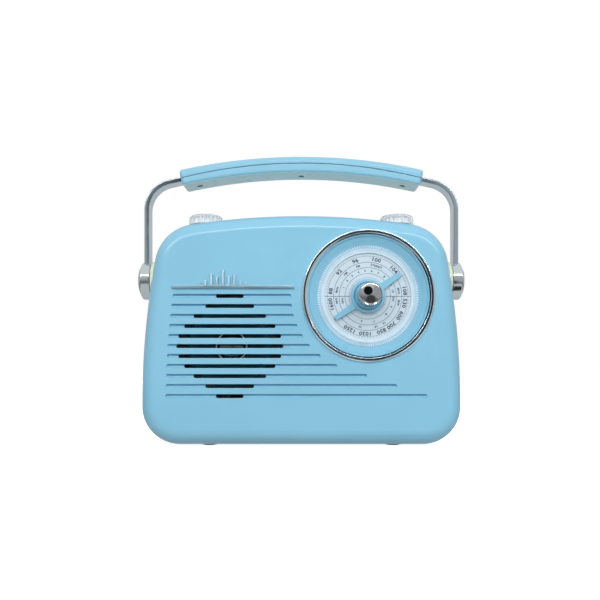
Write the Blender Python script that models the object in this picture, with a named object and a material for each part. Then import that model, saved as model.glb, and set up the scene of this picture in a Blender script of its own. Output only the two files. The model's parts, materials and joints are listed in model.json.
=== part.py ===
"""A retro portable radio with a swinging carrying handle, built as separate pieces.

Positions are given in case coordinates, in millimetres: x to the right of the middle, depth
behind the flat front face, and height above the underside of the case. The finished objects are
in metres, +Z up, with the front facing -Y and the origin on the ground under the middle.
"""

import math

import bmesh
import bpy
from mathutils import Vector

MM = 0.001
GAP = 0.3

# Case, in millimetres
CASE_HALF_WIDTH = 120.0
CASE_HEIGHT = 172.0
CASE_DEPTH = 78.0
WIDEST_HEIGHT = 30.0
SIDE_RADIUS = 615.0
TOP_RADIUS = 555.0
UPPER_CORNER = 33.0
LOWER_CORNER = 28.5
FRONT_FILLET = 12.0
BACK_FILLET = 7.0
WALL = 2.4
SEAM_DEPTH = 60.0
MIDDLE_DEPTH = CASE_DEPTH / 2
FOOT_PROUD = 1.2
FOOT_RADIUS = 6.0
FOOT_X = 70.0
FOOT_DEPTHS = {"front": 20.0, "rear": 67.0}

# Grooves and speaker slots
ROWS = 11
ROW_PITCH = 7.4
TOP_ROW_HEIGHT = 110.7
GROOVE_WIDTH = 3.0
GROOVE_DEPTH = 0.9
GROOVE_MARGIN = 19.5
GROOVE_CLEAR_RADIUS = 57.0
LONG_GROOVE_END = 48.7
LONG_GROOVE_STEP = 22.25
SPEAKER_X = -53.0
SPEAKER_HEIGHT = TOP_ROW_HEIGHT - ROW_PITCH * (ROWS // 2)
SLOT_HALF_LENGTH = 39.0
SLOT_TAPER_DEG = 15.0
SLOT_INSIDE_GROOVE = 0.1

# Badge
BADGE_LEFT = -95.7
BADGE_RIGHT = -5.2
BADGE_HEIGHT = 117.4
BADGE_BAR = 2.7
BADGE_PROUD = 1.6
WAVE_STROKES = 9
WAVE_LEFT = -77.0
WAVE_RIGHT = -38.6
WAVE_RISE = 11.0

# Dial
DIAL_X = 49.6
DIAL_HEIGHT = 111.0
RING_OUTER = 48.7
RING_INNER = 44.9
RING_PROUD = 1.9
DISH_OUTER = 45.4
DISH_FLOOR_RADIUS = 38.0
DISH_FLOOR_DEPTH = 4.0
DISH_BACK_DEPTH = 5.6
SCALE_RING_OUTER = 37.6
SCALE_RING_INNER = 32.4
PLATE_RADIUS = 40.0
PLATE_DEPTH = 5.9
PLATE_THICKNESS = 1.3
POINTER_DEG = 34.5
POINTER_TIP = 29.6
POINTER_ROOT_WIDTH = 5.8
POINTER_TIP_WIDTH = 3.1
HUB_RING_RADIUS = 12.7
HUB_RADIUS = 10.5
KNOB_BASE_RADIUS = 8.7
KNOB_FACE_RADIUS = 7.4
KNOB_PROUD = 17.0
HUB_PROUD = 1.2
SHAFT_RADIUS = 3.0

# Top knobs
TOP_KNOB_X = 76.0
TOP_KNOB_RADIUS = 13.2
TOP_KNOB_FLUTES = 24
TOP_KNOB_FLUTE_DEPTH = 0.8
TOP_KNOB_LOW = 170.4
TOP_KNOB_HIGH = 177.6
COLLAR_RADIUS = 10.5
COLLAR_LOW = 162.0

# Handle
PIVOT_HEIGHT = 126.0
BOSS_RADIUS = 15.4
BOSS_INNER_X = 104.0
BOSS_OUTER_X = 117.6
SPACER_RADIUS = 7.0
ARM_INNER_X = 119.9
ARM_THICKNESS = 4.0
ARM_WIDTH = 12.4
ARM_CHAMFER = 0.9
ARM_EYE_RADIUS = 12.7
ARM_BEND_RADIUS = 22.0
ARM_FOOT_DROP = 7.0
CAP_RADIUS = 14.6
CAP_WALL = 1.5
CAP_INNER_X = 118.0
CAP_RIM_X = 124.8
CAP_OUTER_X = 128.4
CAP_FLOOR_X = 124.2
BOLT_HEAD_THICKNESS = 2.0
GRIP_TOP = 223.0
GRIP_RADIUS = 440.0
GRIP_THICKNESS = 13.2
GRIP_HALF_LENGTH = 96.0
GRIP_HALF_DEPTH = 12.25
GRIP_SEAM_DROP = 6.2
GRIP_SEAM_END_DROP = 7.4
ARM_RISE_IN_GRIP = 0.2
ARM_END_X = 74.0
GRIP_SCREW_X = 80.5

# Battery compartment
CELL_RADIUS = 16.6
CELL_LENGTH = 59.0
CELL_HEIGHT = 27.5
CELL_DEPTH = 58.3
BOX_HALF_LENGTH = 64.0
BOX_WALL = 1.6
DOOR_HALF_LENGTH = 63.0
DOOR_LOW = 9.0
DOOR_HIGH = 46.0
DOOR_THICKNESS = 2.1

# Telescopic antenna, in a step along the back's top edge
STEP_FLOOR = 154.0
STEP_DEPTH = 67.0
ANTENNA_X = 84.0
ANTENNA_DEPTH = 72.6
ANTENNA_HEIGHT = 160.0
TUBE_END_X = -70.0

FRONT_Y = KNOB_PROUD - (CASE_DEPTH + KNOB_PROUD) / 2

COLOURS = {
    "blue_plastic": ((141, 199, 228), 0.32, 0.0),
    "cream_plastic": ((214, 222, 202), 0.4, 0.0),
    "clear_plastic": ((205, 216, 226), 0.2, 0.0),
    "dial_print": ((190, 206, 224), 0.5, 0.0),
    "chrome": ((200, 208, 208), 0.12, 1.0),
    "steel": ((150, 152, 155), 0.35, 1.0),
    "black_plastic": ((26, 27, 29), 0.5, 0.0),
    "rubber": ((30, 30, 31), 0.8, 0.0),
    "paper_cone": ((38, 38, 40), 0.9, 0.0),
    "magnet_steel": ((88, 90, 94), 0.4, 0.8),
    "board": ((172, 138, 72), 0.6, 0.0),
    "ferrite": ((60, 58, 60), 0.7, 0.0),
    "copper": ((186, 98, 52), 0.35, 1.0),
    "battery_wrap": ((52, 60, 76), 0.4, 0.2),
}


# --- Building blocks ---------------------------------------------------------------------------


def clear_scene():
    for old in list(bpy.data.objects):
        bpy.data.objects.remove(old, do_unlink=True)


def world(x, depth, height):
    """The place in metres of a point in case coordinates."""
    return Vector((x, FRONT_Y + depth, FOOT_PROUD + height)) * MM


def linear(channel):
    """An sRGB byte as the linear value that a shader takes."""
    value = channel / 255
    return value / 12.92 if value <= 0.04045 else ((value + 0.055) / 1.055) ** 2.4


def material_of(name):
    found = bpy.data.materials.get(name)
    if found:
        return found
    colour, roughness, metallic = COLOURS[name]
    made = bpy.data.materials.new(name)
    made.use_nodes = True
    shader = made.node_tree.nodes["Principled BSDF"]
    shader.inputs["Base Color"].default_value = (*[linear(c) for c in colour], 1.0)
    shader.inputs["Roughness"].default_value = roughness
    shader.inputs["Metallic"].default_value = metallic
    return made


def finish(name, bm, material):
    """Turn a bmesh into a named, smooth-shaded object with its faces pointing out."""
    bmesh.ops.remove_doubles(bm, verts=bm.verts, dist=1e-7)
    bmesh.ops.recalc_face_normals(bm, faces=bm.faces)
    mesh = bpy.data.meshes.new(name)
    bm.to_mesh(mesh)
    bm.free()
    mesh.shade_smooth()
    mesh.set_sharp_from_angle(angle=math.radians(35))
    piece = bpy.data.objects.new(name, mesh)
    bpy.context.scene.collection.objects.link(piece)
    if material:
        mesh.materials.append(material_of(material))
    return piece


def lofted(name, rings, material=None):
    """A solid through rings of points in case coordinates, with flat ends."""
    centre = sum((Vector(point) for ring in rings for point in ring), Vector())
    centre /= sum(len(ring) for ring in rings)
    bm = bmesh.new()
    loops = [[bm.verts.new((Vector(point) - centre) * MM) for point in ring] for ring in rings]
    count = len(loops[0])
    for near, far in zip(loops, loops[1:]):
        for i in range(count):
            j = (i + 1) % count
            bm.faces.new((near[i], near[j], far[j], far[i]))
    bm.faces.new(loops[0])
    bm.faces.new(loops[-1])
    piece = finish(name, bm, material)
    piece.location = world(*centre)
    return piece


def plate(name, outline, near, far, material=None):
    """An outline of (x, height) points, extruded from one depth to another."""
    rings = [[(x, depth, height) for x, height in outline] for depth in (near, far)]
    return lofted(name, rings, material)


def block(name, low, high, material=None):
    corners = [(low[0], low[2]), (high[0], low[2]), (high[0], high[2]), (low[0], high[2])]
    return plate(name, corners, low[1], high[1], material)


def is_flat_at(pole):
    """Whether the faces round a pole lie in one plane, square to the axis."""
    return all(abs(edge.other_vert(pole).co.z - pole.co.z) < 1e-7 for edge in pole.link_edges)


def turned(name, profile, start, direction, sides, material=None):
    """A profile of (radius, distance) points, turned about a line from start along direction.

    A profile that begins and ends on the axis is solid there; any other is a closed ring.
    """
    bm = bmesh.new()
    points = [bm.verts.new((radius * MM, 0, distance * MM)) for radius, distance in profile]
    edges = [bm.edges.new(pair) for pair in zip(points, points[1:])]
    if profile[0][0] > 0 or profile[-1][0] > 0:
        edges.append(bm.edges.new((points[-1], points[0])))
    bmesh.ops.spin(
        bm,
        geom=points + edges,
        cent=(0, 0, 0),
        axis=(0, 0, 1),
        angle=math.tau,
        steps=sides,
    )
    bmesh.ops.remove_doubles(bm, verts=bm.verts, dist=1e-7)
    poles = [v for v in bm.verts if v.co.xy.length < 1e-7 and is_flat_at(v)]
    bmesh.ops.dissolve_verts(bm, verts=poles)
    piece = finish(name, bm, material)
    piece.location = world(*start)
    piece.rotation_mode = "QUATERNION"
    piece.rotation_quaternion = Vector(direction).to_track_quat("Z", "Y")
    return piece


def rod(name, radius, start, direction, length, sides, material=None):
    profile = [(0, 0), (radius, 0), (radius, length), (0, length)]
    return turned(name, profile, start, direction, sides, material)


def combine(piece, tool, operation):
    """Join a second solid to a piece, or cut it away, and keep the tool as a guide only."""
    tool.hide_render = True
    tool.display_type = "WIRE"
    modifier = piece.modifiers.new(tool.name, "BOOLEAN")
    modifier.operation = operation
    modifier.solver = "EXACT"
    modifier.object = tool


def cut(piece, *tools):
    for tool in tools:
        combine(piece, tool, "DIFFERENCE")


def join(piece, *tools):
    for tool in tools:
        combine(piece, tool, "UNION")


def axis_at(name, x, depth, height):
    """An empty on a joint's axis, which the moving pieces hang from."""
    empty = bpy.data.objects.new(name, None)
    empty.location = world(x, depth, height)
    bpy.context.scene.collection.objects.link(empty)
    return empty


def hang(empty, *pieces):
    bpy.context.view_layer.update()
    for piece in pieces:
        piece.parent = empty
        piece.matrix_parent_inverse = empty.matrix_world.inverted()


# --- Outlines ----------------------------------------------------------------------------------


def arc(centre, radius, start, end, steps):
    """Points on an arc between two bearings in degrees, both ends included."""
    bearings = [math.radians(start + (end - start) * i / steps) for i in range(steps + 1)]
    return [(centre[0] + radius * math.cos(b), centre[1] + radius * math.sin(b)) for b in bearings]


def bearing(start, end):
    return math.degrees(math.atan2(end[1] - start[1], end[0] - start[0]))


def meeting(first, first_radius, second, second_radius):
    """The upper right meeting point of two circles."""
    dx = second[0] - first[0]
    dy = second[1] - first[1]
    apart = math.hypot(dx, dy)
    along = (first_radius**2 - second_radius**2 + apart**2) / (2 * apart)
    aside = math.sqrt(first_radius**2 - along**2)
    foot = (first[0] + along * dx / apart, first[1] + along * dy / apart)
    return (foot[0] - aside * dy / apart, foot[1] + aside * dx / apart)


SIDE_CENTRE = (CASE_HALF_WIDTH - SIDE_RADIUS, WIDEST_HEIGHT)
TOP_CENTRE = (0.0, CASE_HEIGHT - TOP_RADIUS)


def case_outline(inset=0.0):
    """The case seen from the front, as (x, height) points, moved inwards by inset."""
    rise = LOWER_CORNER - WIDEST_HEIGHT
    reach = math.sqrt((SIDE_RADIUS - LOWER_CORNER) ** 2 - rise**2)
    lower = (SIDE_CENTRE[0] + reach, LOWER_CORNER)
    upper = meeting(
        SIDE_CENTRE, SIDE_RADIUS - UPPER_CORNER, TOP_CENTRE, TOP_RADIUS - UPPER_CORNER
    )
    side_start = bearing(SIDE_CENTRE, lower)
    side_end = bearing(SIDE_CENTRE, upper)
    top_start = bearing(TOP_CENTRE, upper)
    half = arc(lower, LOWER_CORNER - inset, -90, side_start, 7)
    half += arc(SIDE_CENTRE, SIDE_RADIUS - inset, side_start, side_end, 5)[1:]
    half += arc(upper, UPPER_CORNER - inset, side_end, top_start, 7)[1:]
    half += arc(TOP_CENTRE, TOP_RADIUS - inset, top_start, 90, 4)[1:]
    return half + [(-x, height) for x, height in reversed(half[:-1])]


def half_width_at(height):
    """Half the case's width at a height on its long side arc."""
    rise = height - WIDEST_HEIGHT
    return SIDE_CENTRE[0] + math.sqrt(SIDE_RADIUS**2 - rise**2)


def case_ring(inset, depth):
    return [(x, depth, height) for x, height in case_outline(inset)]


def fillet_rings(radius, wall, face, steps, inwards):
    """Rings round a quarter-circle edge: from the flat face to the full outline."""
    rings = []
    inner = radius - wall
    for i in range(steps + 1):
        turn = math.radians(90 * i / steps)
        inset = wall + inner * (1 - math.sin(turn))
        depth = wall + inner * (1 - math.cos(turn))
        rings.append(case_ring(inset, face + inwards * depth))
    return rings


def stadium(left, right, height, width, steps=3):
    """A slot with half-round ends, as (x, height) points."""
    radius = width / 2
    right_end = arc((right - radius, height), radius, -90, 90, steps)
    return right_end + arc((left + radius, height), radius, 90, 270, steps)


def row_height(row):
    return TOP_ROW_HEIGHT - ROW_PITCH * row


def groove_ends(row):
    """The left and right ends of a groove, counted from the top."""
    height = row_height(row)
    left = GROOVE_MARGIN - half_width_at(height)
    drop = DIAL_HEIGHT - height
    if drop < GROOVE_CLEAR_RADIUS:
        return left, DIAL_X - math.sqrt(GROOVE_CLEAR_RADIUS**2 - drop**2)
    past = row - math.ceil(GROOVE_CLEAR_RADIUS / ROW_PITCH)
    return left, LONG_GROOVE_END + LONG_GROOVE_STEP * past


def slot_ends(row):
    """A slot's ends: the field of slots narrows away from its middle row."""
    offset = abs(row - ROWS // 2)
    half = SLOT_HALF_LENGTH * math.cos(math.radians(SLOT_TAPER_DEG * offset))
    return SPEAKER_X - half, SPEAKER_X + half


# --- Case --------------------------------------------------------------------------------------


def make_front_cabinet():
    outer = fillet_rings(FRONT_FILLET, 0, 0, 5, 1) + [case_ring(0, SEAM_DEPTH)]
    cabinet = lofted("front_cabinet", outer, "blue_plastic")
    inner = fillet_rings(FRONT_FILLET, WALL, 0, 2, 1) + [case_ring(WALL, SEAM_DEPTH + 1)]
    cut(cabinet, lofted("cabinet_hollow", inner))
    hole = turned(
        "dial_hole",
        [(0, -5), (DISH_OUTER + 0.4, -5), (DISH_OUTER + 0.4, 5), (0, 5)],
        (DIAL_X, 0, DIAL_HEIGHT),
        (0, 1, 0),
        48,
    )
    cut(cabinet, hole)
    for row in range(ROWS):
        height = row_height(row)
        groove = stadium(*groove_ends(row), height, GROOVE_WIDTH)
        cut(cabinet, plate(f"groove_{row}", groove, -1, GROOVE_DEPTH))
        slot = stadium(*slot_ends(row), height, GROOVE_WIDTH - SLOT_INSIDE_GROOVE)
        cut(cabinet, plate(f"slot_{row}", slot, -1, WALL + 1))
    for side in (-1, 1):
        pivot = (side * (BOSS_INNER_X - 6), MIDDLE_DEPTH, PIVOT_HEIGHT)
        cut(cabinet, rod(f"boss_hole_{side}", BOSS_RADIUS + GAP, pivot, (side, 0, 0), 40, 24))
        under_knob = (side * TOP_KNOB_X, MIDDLE_DEPTH, COLLAR_LOW - 6)
        cut(cabinet, rod(f"knob_hole_{side}", COLLAR_RADIUS + GAP, under_knob, (0, 0, 1), 30, 24))


def make_back_cover():
    back = CASE_DEPTH
    rounded = fillet_rings(BACK_FILLET, 0, back, 3, -1)
    cover = lofted("back_cover", rounded + [case_ring(0, SEAM_DEPTH + GAP)], "blue_plastic")
    wide = CASE_HALF_WIDTH + 10
    step = block("antenna_step", (-wide, STEP_DEPTH, STEP_FLOOR), (wide, back + 10, CASE_HEIGHT + 10))
    rounded = fillet_rings(BACK_FILLET, WALL, back, 2, -1)
    hollow = lofted("cover_hollow", rounded + [case_ring(WALL, SEAM_DEPTH - 1)])
    step_wall = block(
        "antenna_step_wall",
        (-wide, STEP_DEPTH - WALL, STEP_FLOOR - WALL),
        (wide, back + 10, CASE_HEIGHT + 10),
    )
    cut(hollow, step_wall)
    cut(cover, step, hollow)
    door_way = block(
        "door_way",
        (-DOOR_HALF_LENGTH - GAP, back - 10, DOOR_LOW - GAP),
        (DOOR_HALF_LENGTH + GAP, back + 5, DOOR_HIGH + GAP),
    )
    cut(cover, door_way)
    antenna_pin_hole = rod(
        "antenna_pin_hole", 2.5, (ANTENNA_X, ANTENNA_DEPTH, STEP_FLOOR - 8), (0, 0, 1), 16, 12
    )
    cut(cover, antenna_pin_hole)
    for name, radius, height in (("headphone", 3.4, 84.0), ("power", 4.4, 66.0)):
        cut(cover, rod(f"{name}_hole", radius, (JACK_X, back - 8, height), (0, 1, 0), 16, 16))
    for i in range(SOUND_SLOTS):
        x = SOUND_SLOT_X + SOUND_SLOT_PITCH * i
        slot = [(x, SOUND_LOW), (x + 2.6, SOUND_LOW), (x + 2.6, SOUND_HIGH), (x, SOUND_HIGH)]
        cut(cover, plate(f"sound_slot_{i}", slot, back - 8, back + 4))
    for x, height in COVER_SCREWS.values():
        well = turned(
            f"screw_well_{x}_{height}",
            [(0, 5), (4.2, 5), (4.2, -1.2), (1.9, -1.2), (1.9, -12), (0, -12)],
            (x, back, height),
            (0, 1, 0),
            12,
        )
        cut(cover, well)


JACK_X = -92.0
SOUND_SLOTS = 9
SOUND_SLOT_X = 28.0
SOUND_SLOT_PITCH = 6.5
SOUND_LOW = 62.0
SOUND_HIGH = 122.0
COVER_SCREWS = {
    "lower_left": (-95.0, 25.0),
    "lower_right": (95.0, 25.0),
    "upper_left": (-93.0, 138.0),
    "upper_right": (93.0, 138.0),
}


def make_cover_screws():
    profile = [(0, -0.2), (3.2, -0.2), (3.6, -0.9), (1.5, -0.9), (1.5, -10), (0, -10)]
    for place, (x, height) in COVER_SCREWS.items():
        turned(f"cover_screw_{place}", profile, (x, CASE_DEPTH, height), (0, 1, 0), 12, "steel")


def make_feet():
    profile = [(0, 0), (5.2, 0), (FOOT_RADIUS, 0.5), (FOOT_RADIUS, 0.9), (0, 0.9)]
    for end, depth in FOOT_DEPTHS.items():
        for side, name in ((-1, "left"), (1, "right")):
            start = (side * FOOT_X, depth, -FOOT_PROUD)
            turned(f"foot_{end}_{name}", profile, start, (0, 0, 1), 16, "rubber")


def wave_height(stroke):
    """How far a stroke of the badge's wave rises: tallest in the middle, in turn long and short."""
    across = (stroke + 0.5) / WAVE_STROKES
    return WAVE_RISE * math.sin(math.pi * across) * (1.0 if stroke % 2 == 0 else 0.62)


def make_badge():
    """A chrome bar with a sound wave of upright strokes standing on it."""
    low = BADGE_HEIGHT - BADGE_BAR / 2
    high = BADGE_HEIGHT + BADGE_BAR / 2
    pitch = (WAVE_RIGHT - WAVE_LEFT) / WAVE_STROKES
    outline = [(BADGE_LEFT, low), (BADGE_RIGHT, low), (BADGE_RIGHT, high)]
    for stroke in reversed(range(WAVE_STROKES)):
        middle = WAVE_LEFT + pitch * (stroke + 0.5)
        top = high + wave_height(stroke)
        for x, height in ((0.26, high), (0.26, top), (-0.26, top), (-0.26, high)):
            outline.append((middle + x * pitch, height))
    outline.append((BADGE_LEFT, high))
    plate("badge_bar", outline, -BADGE_PROUD, -GAP, "chrome")


# --- Dial and tuning ---------------------------------------------------------------------------


def make_dial():
    centre = (DIAL_X, 0, DIAL_HEIGHT)
    inwards = (0, 1, 0)
    ring = [
        (RING_INNER, -1.2),
        (RING_INNER + 0.7, -RING_PROUD),
        (RING_OUTER - 1.2, -RING_PROUD),
        (RING_OUTER, -1.0),
        (RING_OUTER, -GAP),
        (RING_INNER, -GAP),
    ]
    turned("dial_ring", ring, centre, inwards, 48, "chrome")
    dish = [
        (DISH_OUTER, 0),
        (DISH_OUTER, 2.0),
        (40.4, DISH_BACK_DEPTH),
        (DISH_FLOOR_RADIUS, DISH_BACK_DEPTH),
        (DISH_FLOOR_RADIUS, DISH_FLOOR_DEPTH),
        (39.2, 3.7),
        (41.6, 2.4),
        (44.2, 0),
    ]
    turned("dial_dish", dish, centre, inwards, 40, "blue_plastic")
    scale_ring = [
        (SCALE_RING_INNER, 4.4),
        (SCALE_RING_OUTER, 4.4),
        (SCALE_RING_OUTER, DISH_BACK_DEPTH),
        (SCALE_RING_INNER, DISH_BACK_DEPTH),
    ]
    turned("dial_scale_ring", scale_ring, centre, inwards, 36, "clear_plastic")
    back = PLATE_DEPTH + PLATE_THICKNESS
    dial_plate = [(4.0, PLATE_DEPTH), (PLATE_RADIUS, PLATE_DEPTH), (PLATE_RADIUS, back), (4.0, back)]
    turned("dial_plate", dial_plate, centre, inwards, 36, "dial_print")


def make_tuning():
    """Pointer, knob and shaft, which turn together about the dial's axis."""
    centre = (DIAL_X, 0, DIAL_HEIGHT)
    inwards = (0, 1, 0)
    bore = SHAFT_RADIUS + GAP
    hub = [
        (bore, -HUB_PROUD),
        (HUB_RADIUS - 0.8, -HUB_PROUD),
        (HUB_RADIUS, -HUB_PROUD + 0.8),
        (HUB_RADIUS, 3.4),
        (HUB_RING_RADIUS, 3.7),
        (HUB_RING_RADIUS, 5.4),
        (bore, 5.4),
    ]
    pointer = turned("tuning_pointer", hub, centre, inwards, 24, "blue_plastic")
    for side in (-1, 1):
        turn = math.radians(POINTER_DEG)
        along = Vector((math.cos(turn), math.sin(turn))) * side
        across = Vector((-along.y, along.x))
        root = along * (HUB_RADIUS - 1.5)
        tip = along * POINTER_TIP
        corners = [
            root + across * POINTER_ROOT_WIDTH / 2,
            root - across * POINTER_ROOT_WIDTH / 2,
            tip - across * POINTER_TIP_WIDTH / 2,
            tip + across * POINTER_TIP_WIDTH / 2,
        ]
        outline = [(DIAL_X + p.x, DIAL_HEIGHT + p.y) for p in corners]
        join(pointer, plate(f"pointer_arm_{side}", outline, 3.0, 5.2))
    knob_profile = [
        (0, -KNOB_PROUD),
        (4.0, -KNOB_PROUD + 0.45),
        (KNOB_FACE_RADIUS, -KNOB_PROUD + 1.5),
        (KNOB_BASE_RADIUS - 0.4, -KNOB_PROUD + 2.6),
        (KNOB_BASE_RADIUS, -HUB_PROUD - 1.5),
        (KNOB_BASE_RADIUS, -HUB_PROUD - GAP),
        (bore, -HUB_PROUD - GAP),
        (bore, -KNOB_PROUD + 4.0),
        (0, -KNOB_PROUD + 4.0),
    ]
    knob = turned("tuning_knob", knob_profile, centre, inwards, 24, "chrome")
    start = (DIAL_X, -KNOB_PROUD + 4.0 + GAP, DIAL_HEIGHT)
    shaft = rod("tuning_shaft", SHAFT_RADIUS, start, inwards, 31.0, 16, "steel")
    hang(axis_at("tuning_axis", *centre), pointer, knob, shaft)


def make_tuning_capacitor():
    low = (DIAL_X - 11, 13.4, DIAL_HEIGHT - 11)
    high = (DIAL_X + 11, 26.7, DIAL_HEIGHT + 11)
    capacitor = block("tuning_capacitor", low, high, "clear_plastic")
    bore = rod("capacitor_bore", SHAFT_RADIUS + GAP, (DIAL_X, 12, DIAL_HEIGHT), (0, 1, 0), 7.0, 16)
    cut(capacitor, bore)


# --- Speaker -----------------------------------------------------------------------------------


def make_speaker():
    centre = (SPEAKER_X, 0, SPEAKER_HEIGHT)
    inwards = (0, 1, 0)
    basket_profile = [
        (31.6, 2.8),
        (38.5, 2.8),
        (38.5, 4.4),
        (33.4, 4.4),
        (22.0, 22.0),
        (22.0, 23.6),
        (10.7, 23.6),
        (10.7, 22.2),
        (20.4, 22.2),
        (31.6, 5.0),
    ]
    basket = turned("speaker_basket", basket_profile, centre, inwards, 24, "black_plastic")
    for name, size in (("level", (40, 9)), ("upright", (9, 40))):
        low = (SPEAKER_X - size[0], 8.5, SPEAKER_HEIGHT - size[1])
        high = (SPEAKER_X + size[0], 18.5, SPEAKER_HEIGHT + size[1])
        cut(basket, block(f"basket_window_{name}", low, high))
    cone_profile = [
        (31.2, 4.5),
        (31.2, 3.7),
        (28.4, 3.1),
        (25.8, 4.4),
        (11.4, 15.2),
        (9.6, 15.2),
        (9.6, 21.6),
        (10.3, 21.6),
        (10.3, 16.2),
        (12.0, 16.2),
        (26.2, 5.4),
        (28.4, 4.0),
    ]
    turned("speaker_cone", cone_profile, centre, inwards, 24, "paper_cone")
    dome = [(0, 9.4), (5.0, 10.1), (9.0, 12.2), (11.0, 14.6), (0, 14.6)]
    turned("speaker_dust_cap", dome, centre, inwards, 24, "chrome")
    magnet = [(0, 24.0), (22, 24.0), (22, 33.0), (19, 33.0), (19, 36.0), (0, 36.0)]
    turned("speaker_magnet", magnet, centre, inwards, 24, "magnet_steel")


# --- Top knobs ---------------------------------------------------------------------------------


def fluted_ring(x, height, radius):
    """A ring of flutes about an upright axis."""
    points = []
    for i in range(TOP_KNOB_FLUTES * 2):
        turn = math.pi * i / TOP_KNOB_FLUTES
        reach = radius - TOP_KNOB_FLUTE_DEPTH * (i % 2)
        points.append((x + reach * math.cos(turn), MIDDLE_DEPTH + reach * math.sin(turn), height))
    return points


def make_top_knob(name, side):
    """A fluted knob whose stem reaches down through its collar into the control below."""
    x = side * TOP_KNOB_X
    rings = [
        fluted_ring(x, TOP_KNOB_LOW, TOP_KNOB_RADIUS),
        fluted_ring(x, TOP_KNOB_HIGH - 1.3, TOP_KNOB_RADIUS),
        fluted_ring(x, TOP_KNOB_HIGH, TOP_KNOB_RADIUS - 1.5),
    ]
    knob = lofted(f"{name}_knob", rings, "clear_plastic")
    stem_low = (x, MIDDLE_DEPTH, 153.0)
    join(knob, rod(f"{name}_stem", SHAFT_RADIUS, stem_low, (0, 0, 1), 22.0, 16))
    hang(axis_at(f"{name}_axis", x, MIDDLE_DEPTH, TOP_KNOB_LOW), knob)
    upright = (0, 0, 1)
    bore = SHAFT_RADIUS + GAP
    rise = TOP_KNOB_LOW - GAP - COLLAR_LOW
    collar = [(bore, 0), (COLLAR_RADIUS, 0), (COLLAR_RADIUS, rise), (bore, rise)]
    start = (x, MIDDLE_DEPTH, COLLAR_LOW)
    turned(f"{name}_collar", collar, start, upright, 24, "cream_plastic")
    control = [(0, 0), (8.0, 0), (8.0, 11.0), (bore, 11.0), (bore, 4.0), (0, 4.0)]
    return control, (x, MIDDLE_DEPTH, 148.5), upright


def make_top_controls():
    control, start, upright = make_top_knob("volume", 1)
    turned("volume_control", control, start, upright, 20, "steel")
    control, start, upright = make_top_knob("band", -1)
    turned("band_switch", control, start, upright, 20, "board")


# --- Handle ------------------------------------------------------------------------------------

GRIP_CENTRE_HEIGHT = GRIP_TOP - GRIP_RADIUS
GRIP_END_TURN = math.asin(GRIP_HALF_LENGTH / GRIP_RADIUS)


def grip_point(turn, radius, depth):
    """A point of the grip, from its angle round the grip's arc and its distance from the centre."""
    return (radius * math.sin(turn), depth, GRIP_CENTRE_HEIGHT + radius * math.cos(turn))


def arm_path(side):
    """Centreline of an arm: up from the pivot, round the bend, and down the grip's slope inwards."""
    upright_x = ARM_INNER_X + ARM_THICKNESS / 2
    slope = GRIP_END_TURN
    middle = GRIP_RADIUS - GRIP_THICKNESS / 2 + ARM_RISE_IN_GRIP
    end_x, _, end_height = grip_point(slope, middle, 0)
    corner_height = end_height - (upright_x - end_x) * math.tan(slope)
    run = ARM_BEND_RADIUS * math.tan((math.pi / 2 - slope) / 2)
    centre = (upright_x - ARM_BEND_RADIUS, corner_height - run)
    bend = arc(centre, ARM_BEND_RADIUS, 0, 90 - math.degrees(slope), 6)
    tip = (ARM_END_X, end_height + (end_x - ARM_END_X) * math.tan(slope))
    path = [(upright_x, PIVOT_HEIGHT - ARM_FOOT_DROP)] + bend + [tip]
    return [(side * x, height) for x, height in path]


def swept(name, path, section, material=None):
    """A section of (outwards, depth) points swept along a path of (x, height) points."""
    rings = []
    for i, (x, height) in enumerate(path):
        before = Vector(path[max(i - 1, 0)])
        after = Vector(path[min(i + 1, len(path) - 1)])
        along = (after - before).normalized()
        out = Vector((along.y, -along.x))
        rings.append([(x + out.x * o, MIDDLE_DEPTH + d, height + out.y * o) for o, d in section])
    return lofted(name, rings, material)


def arm_section(side):
    half = ARM_THICKNESS / 2
    wide = ARM_WIDTH / 2
    outer = half * side
    bevel = (half - ARM_CHAMFER) * side
    return [
        (-outer, -wide),
        (bevel, -wide),
        (outer, -wide + ARM_CHAMFER),
        (outer, wide - ARM_CHAMFER),
        (bevel, wide),
        (-outer, wide),
    ]


def screw_hole(name, turn):
    """A stepped hole up through the grip, along the grip's own radius."""
    start = grip_point(turn, GRIP_RADIUS - GRIP_THICKNESS - 3, MIDDLE_DEPTH)
    up = (math.sin(turn), 0, math.cos(turn))
    profile = [(0, 0), (2.3, 0), (2.3, 4.8), (1.7, 4.8), (1.7, 13.6), (0, 13.6)]
    return turned(name, profile, start, up, 12)


def screw_turns():
    turn = math.asin(GRIP_SCREW_X / (GRIP_RADIUS - GRIP_THICKNESS))
    return {"left": -turn, "centre": 0.0, "right": turn}


def seam_radius(turn):
    """The seam between the grip's shells, which sinks a little towards the ends."""
    sink = (GRIP_SEAM_END_DROP - GRIP_SEAM_DROP) * (turn / GRIP_END_TURN) ** 2
    return GRIP_RADIUS - GRIP_SEAM_DROP - sink


def grip_sweep(name, first, last, section_at, steps, material=None):
    """A section of (depth, radius) points, which may change with the turn, swept round the arc."""
    rings = []
    for i in range(steps + 1):
        turn = first + (last - first) * i / steps
        section = section_at(turn)
        rings.append([grip_point(turn, radius, MIDDLE_DEPTH + depth) for depth, radius in section])
    return lofted(name, rings, material)


def mirrored(half):
    """A section from its right half, which may start on the middle line."""
    return half + [(-depth, radius) for depth, radius in reversed(half) if depth > 0]


def crown_section(turn):
    wide = GRIP_HALF_DEPTH
    outer = GRIP_RADIUS
    seam = seam_radius(turn) + GAP / 2
    half = [(wide, seam), (wide, outer - 4.2), (wide - 1.4, outer - 1.5), (wide - 4.6, outer - 0.2)]
    return mirrored(half + [(0, outer)])


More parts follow.
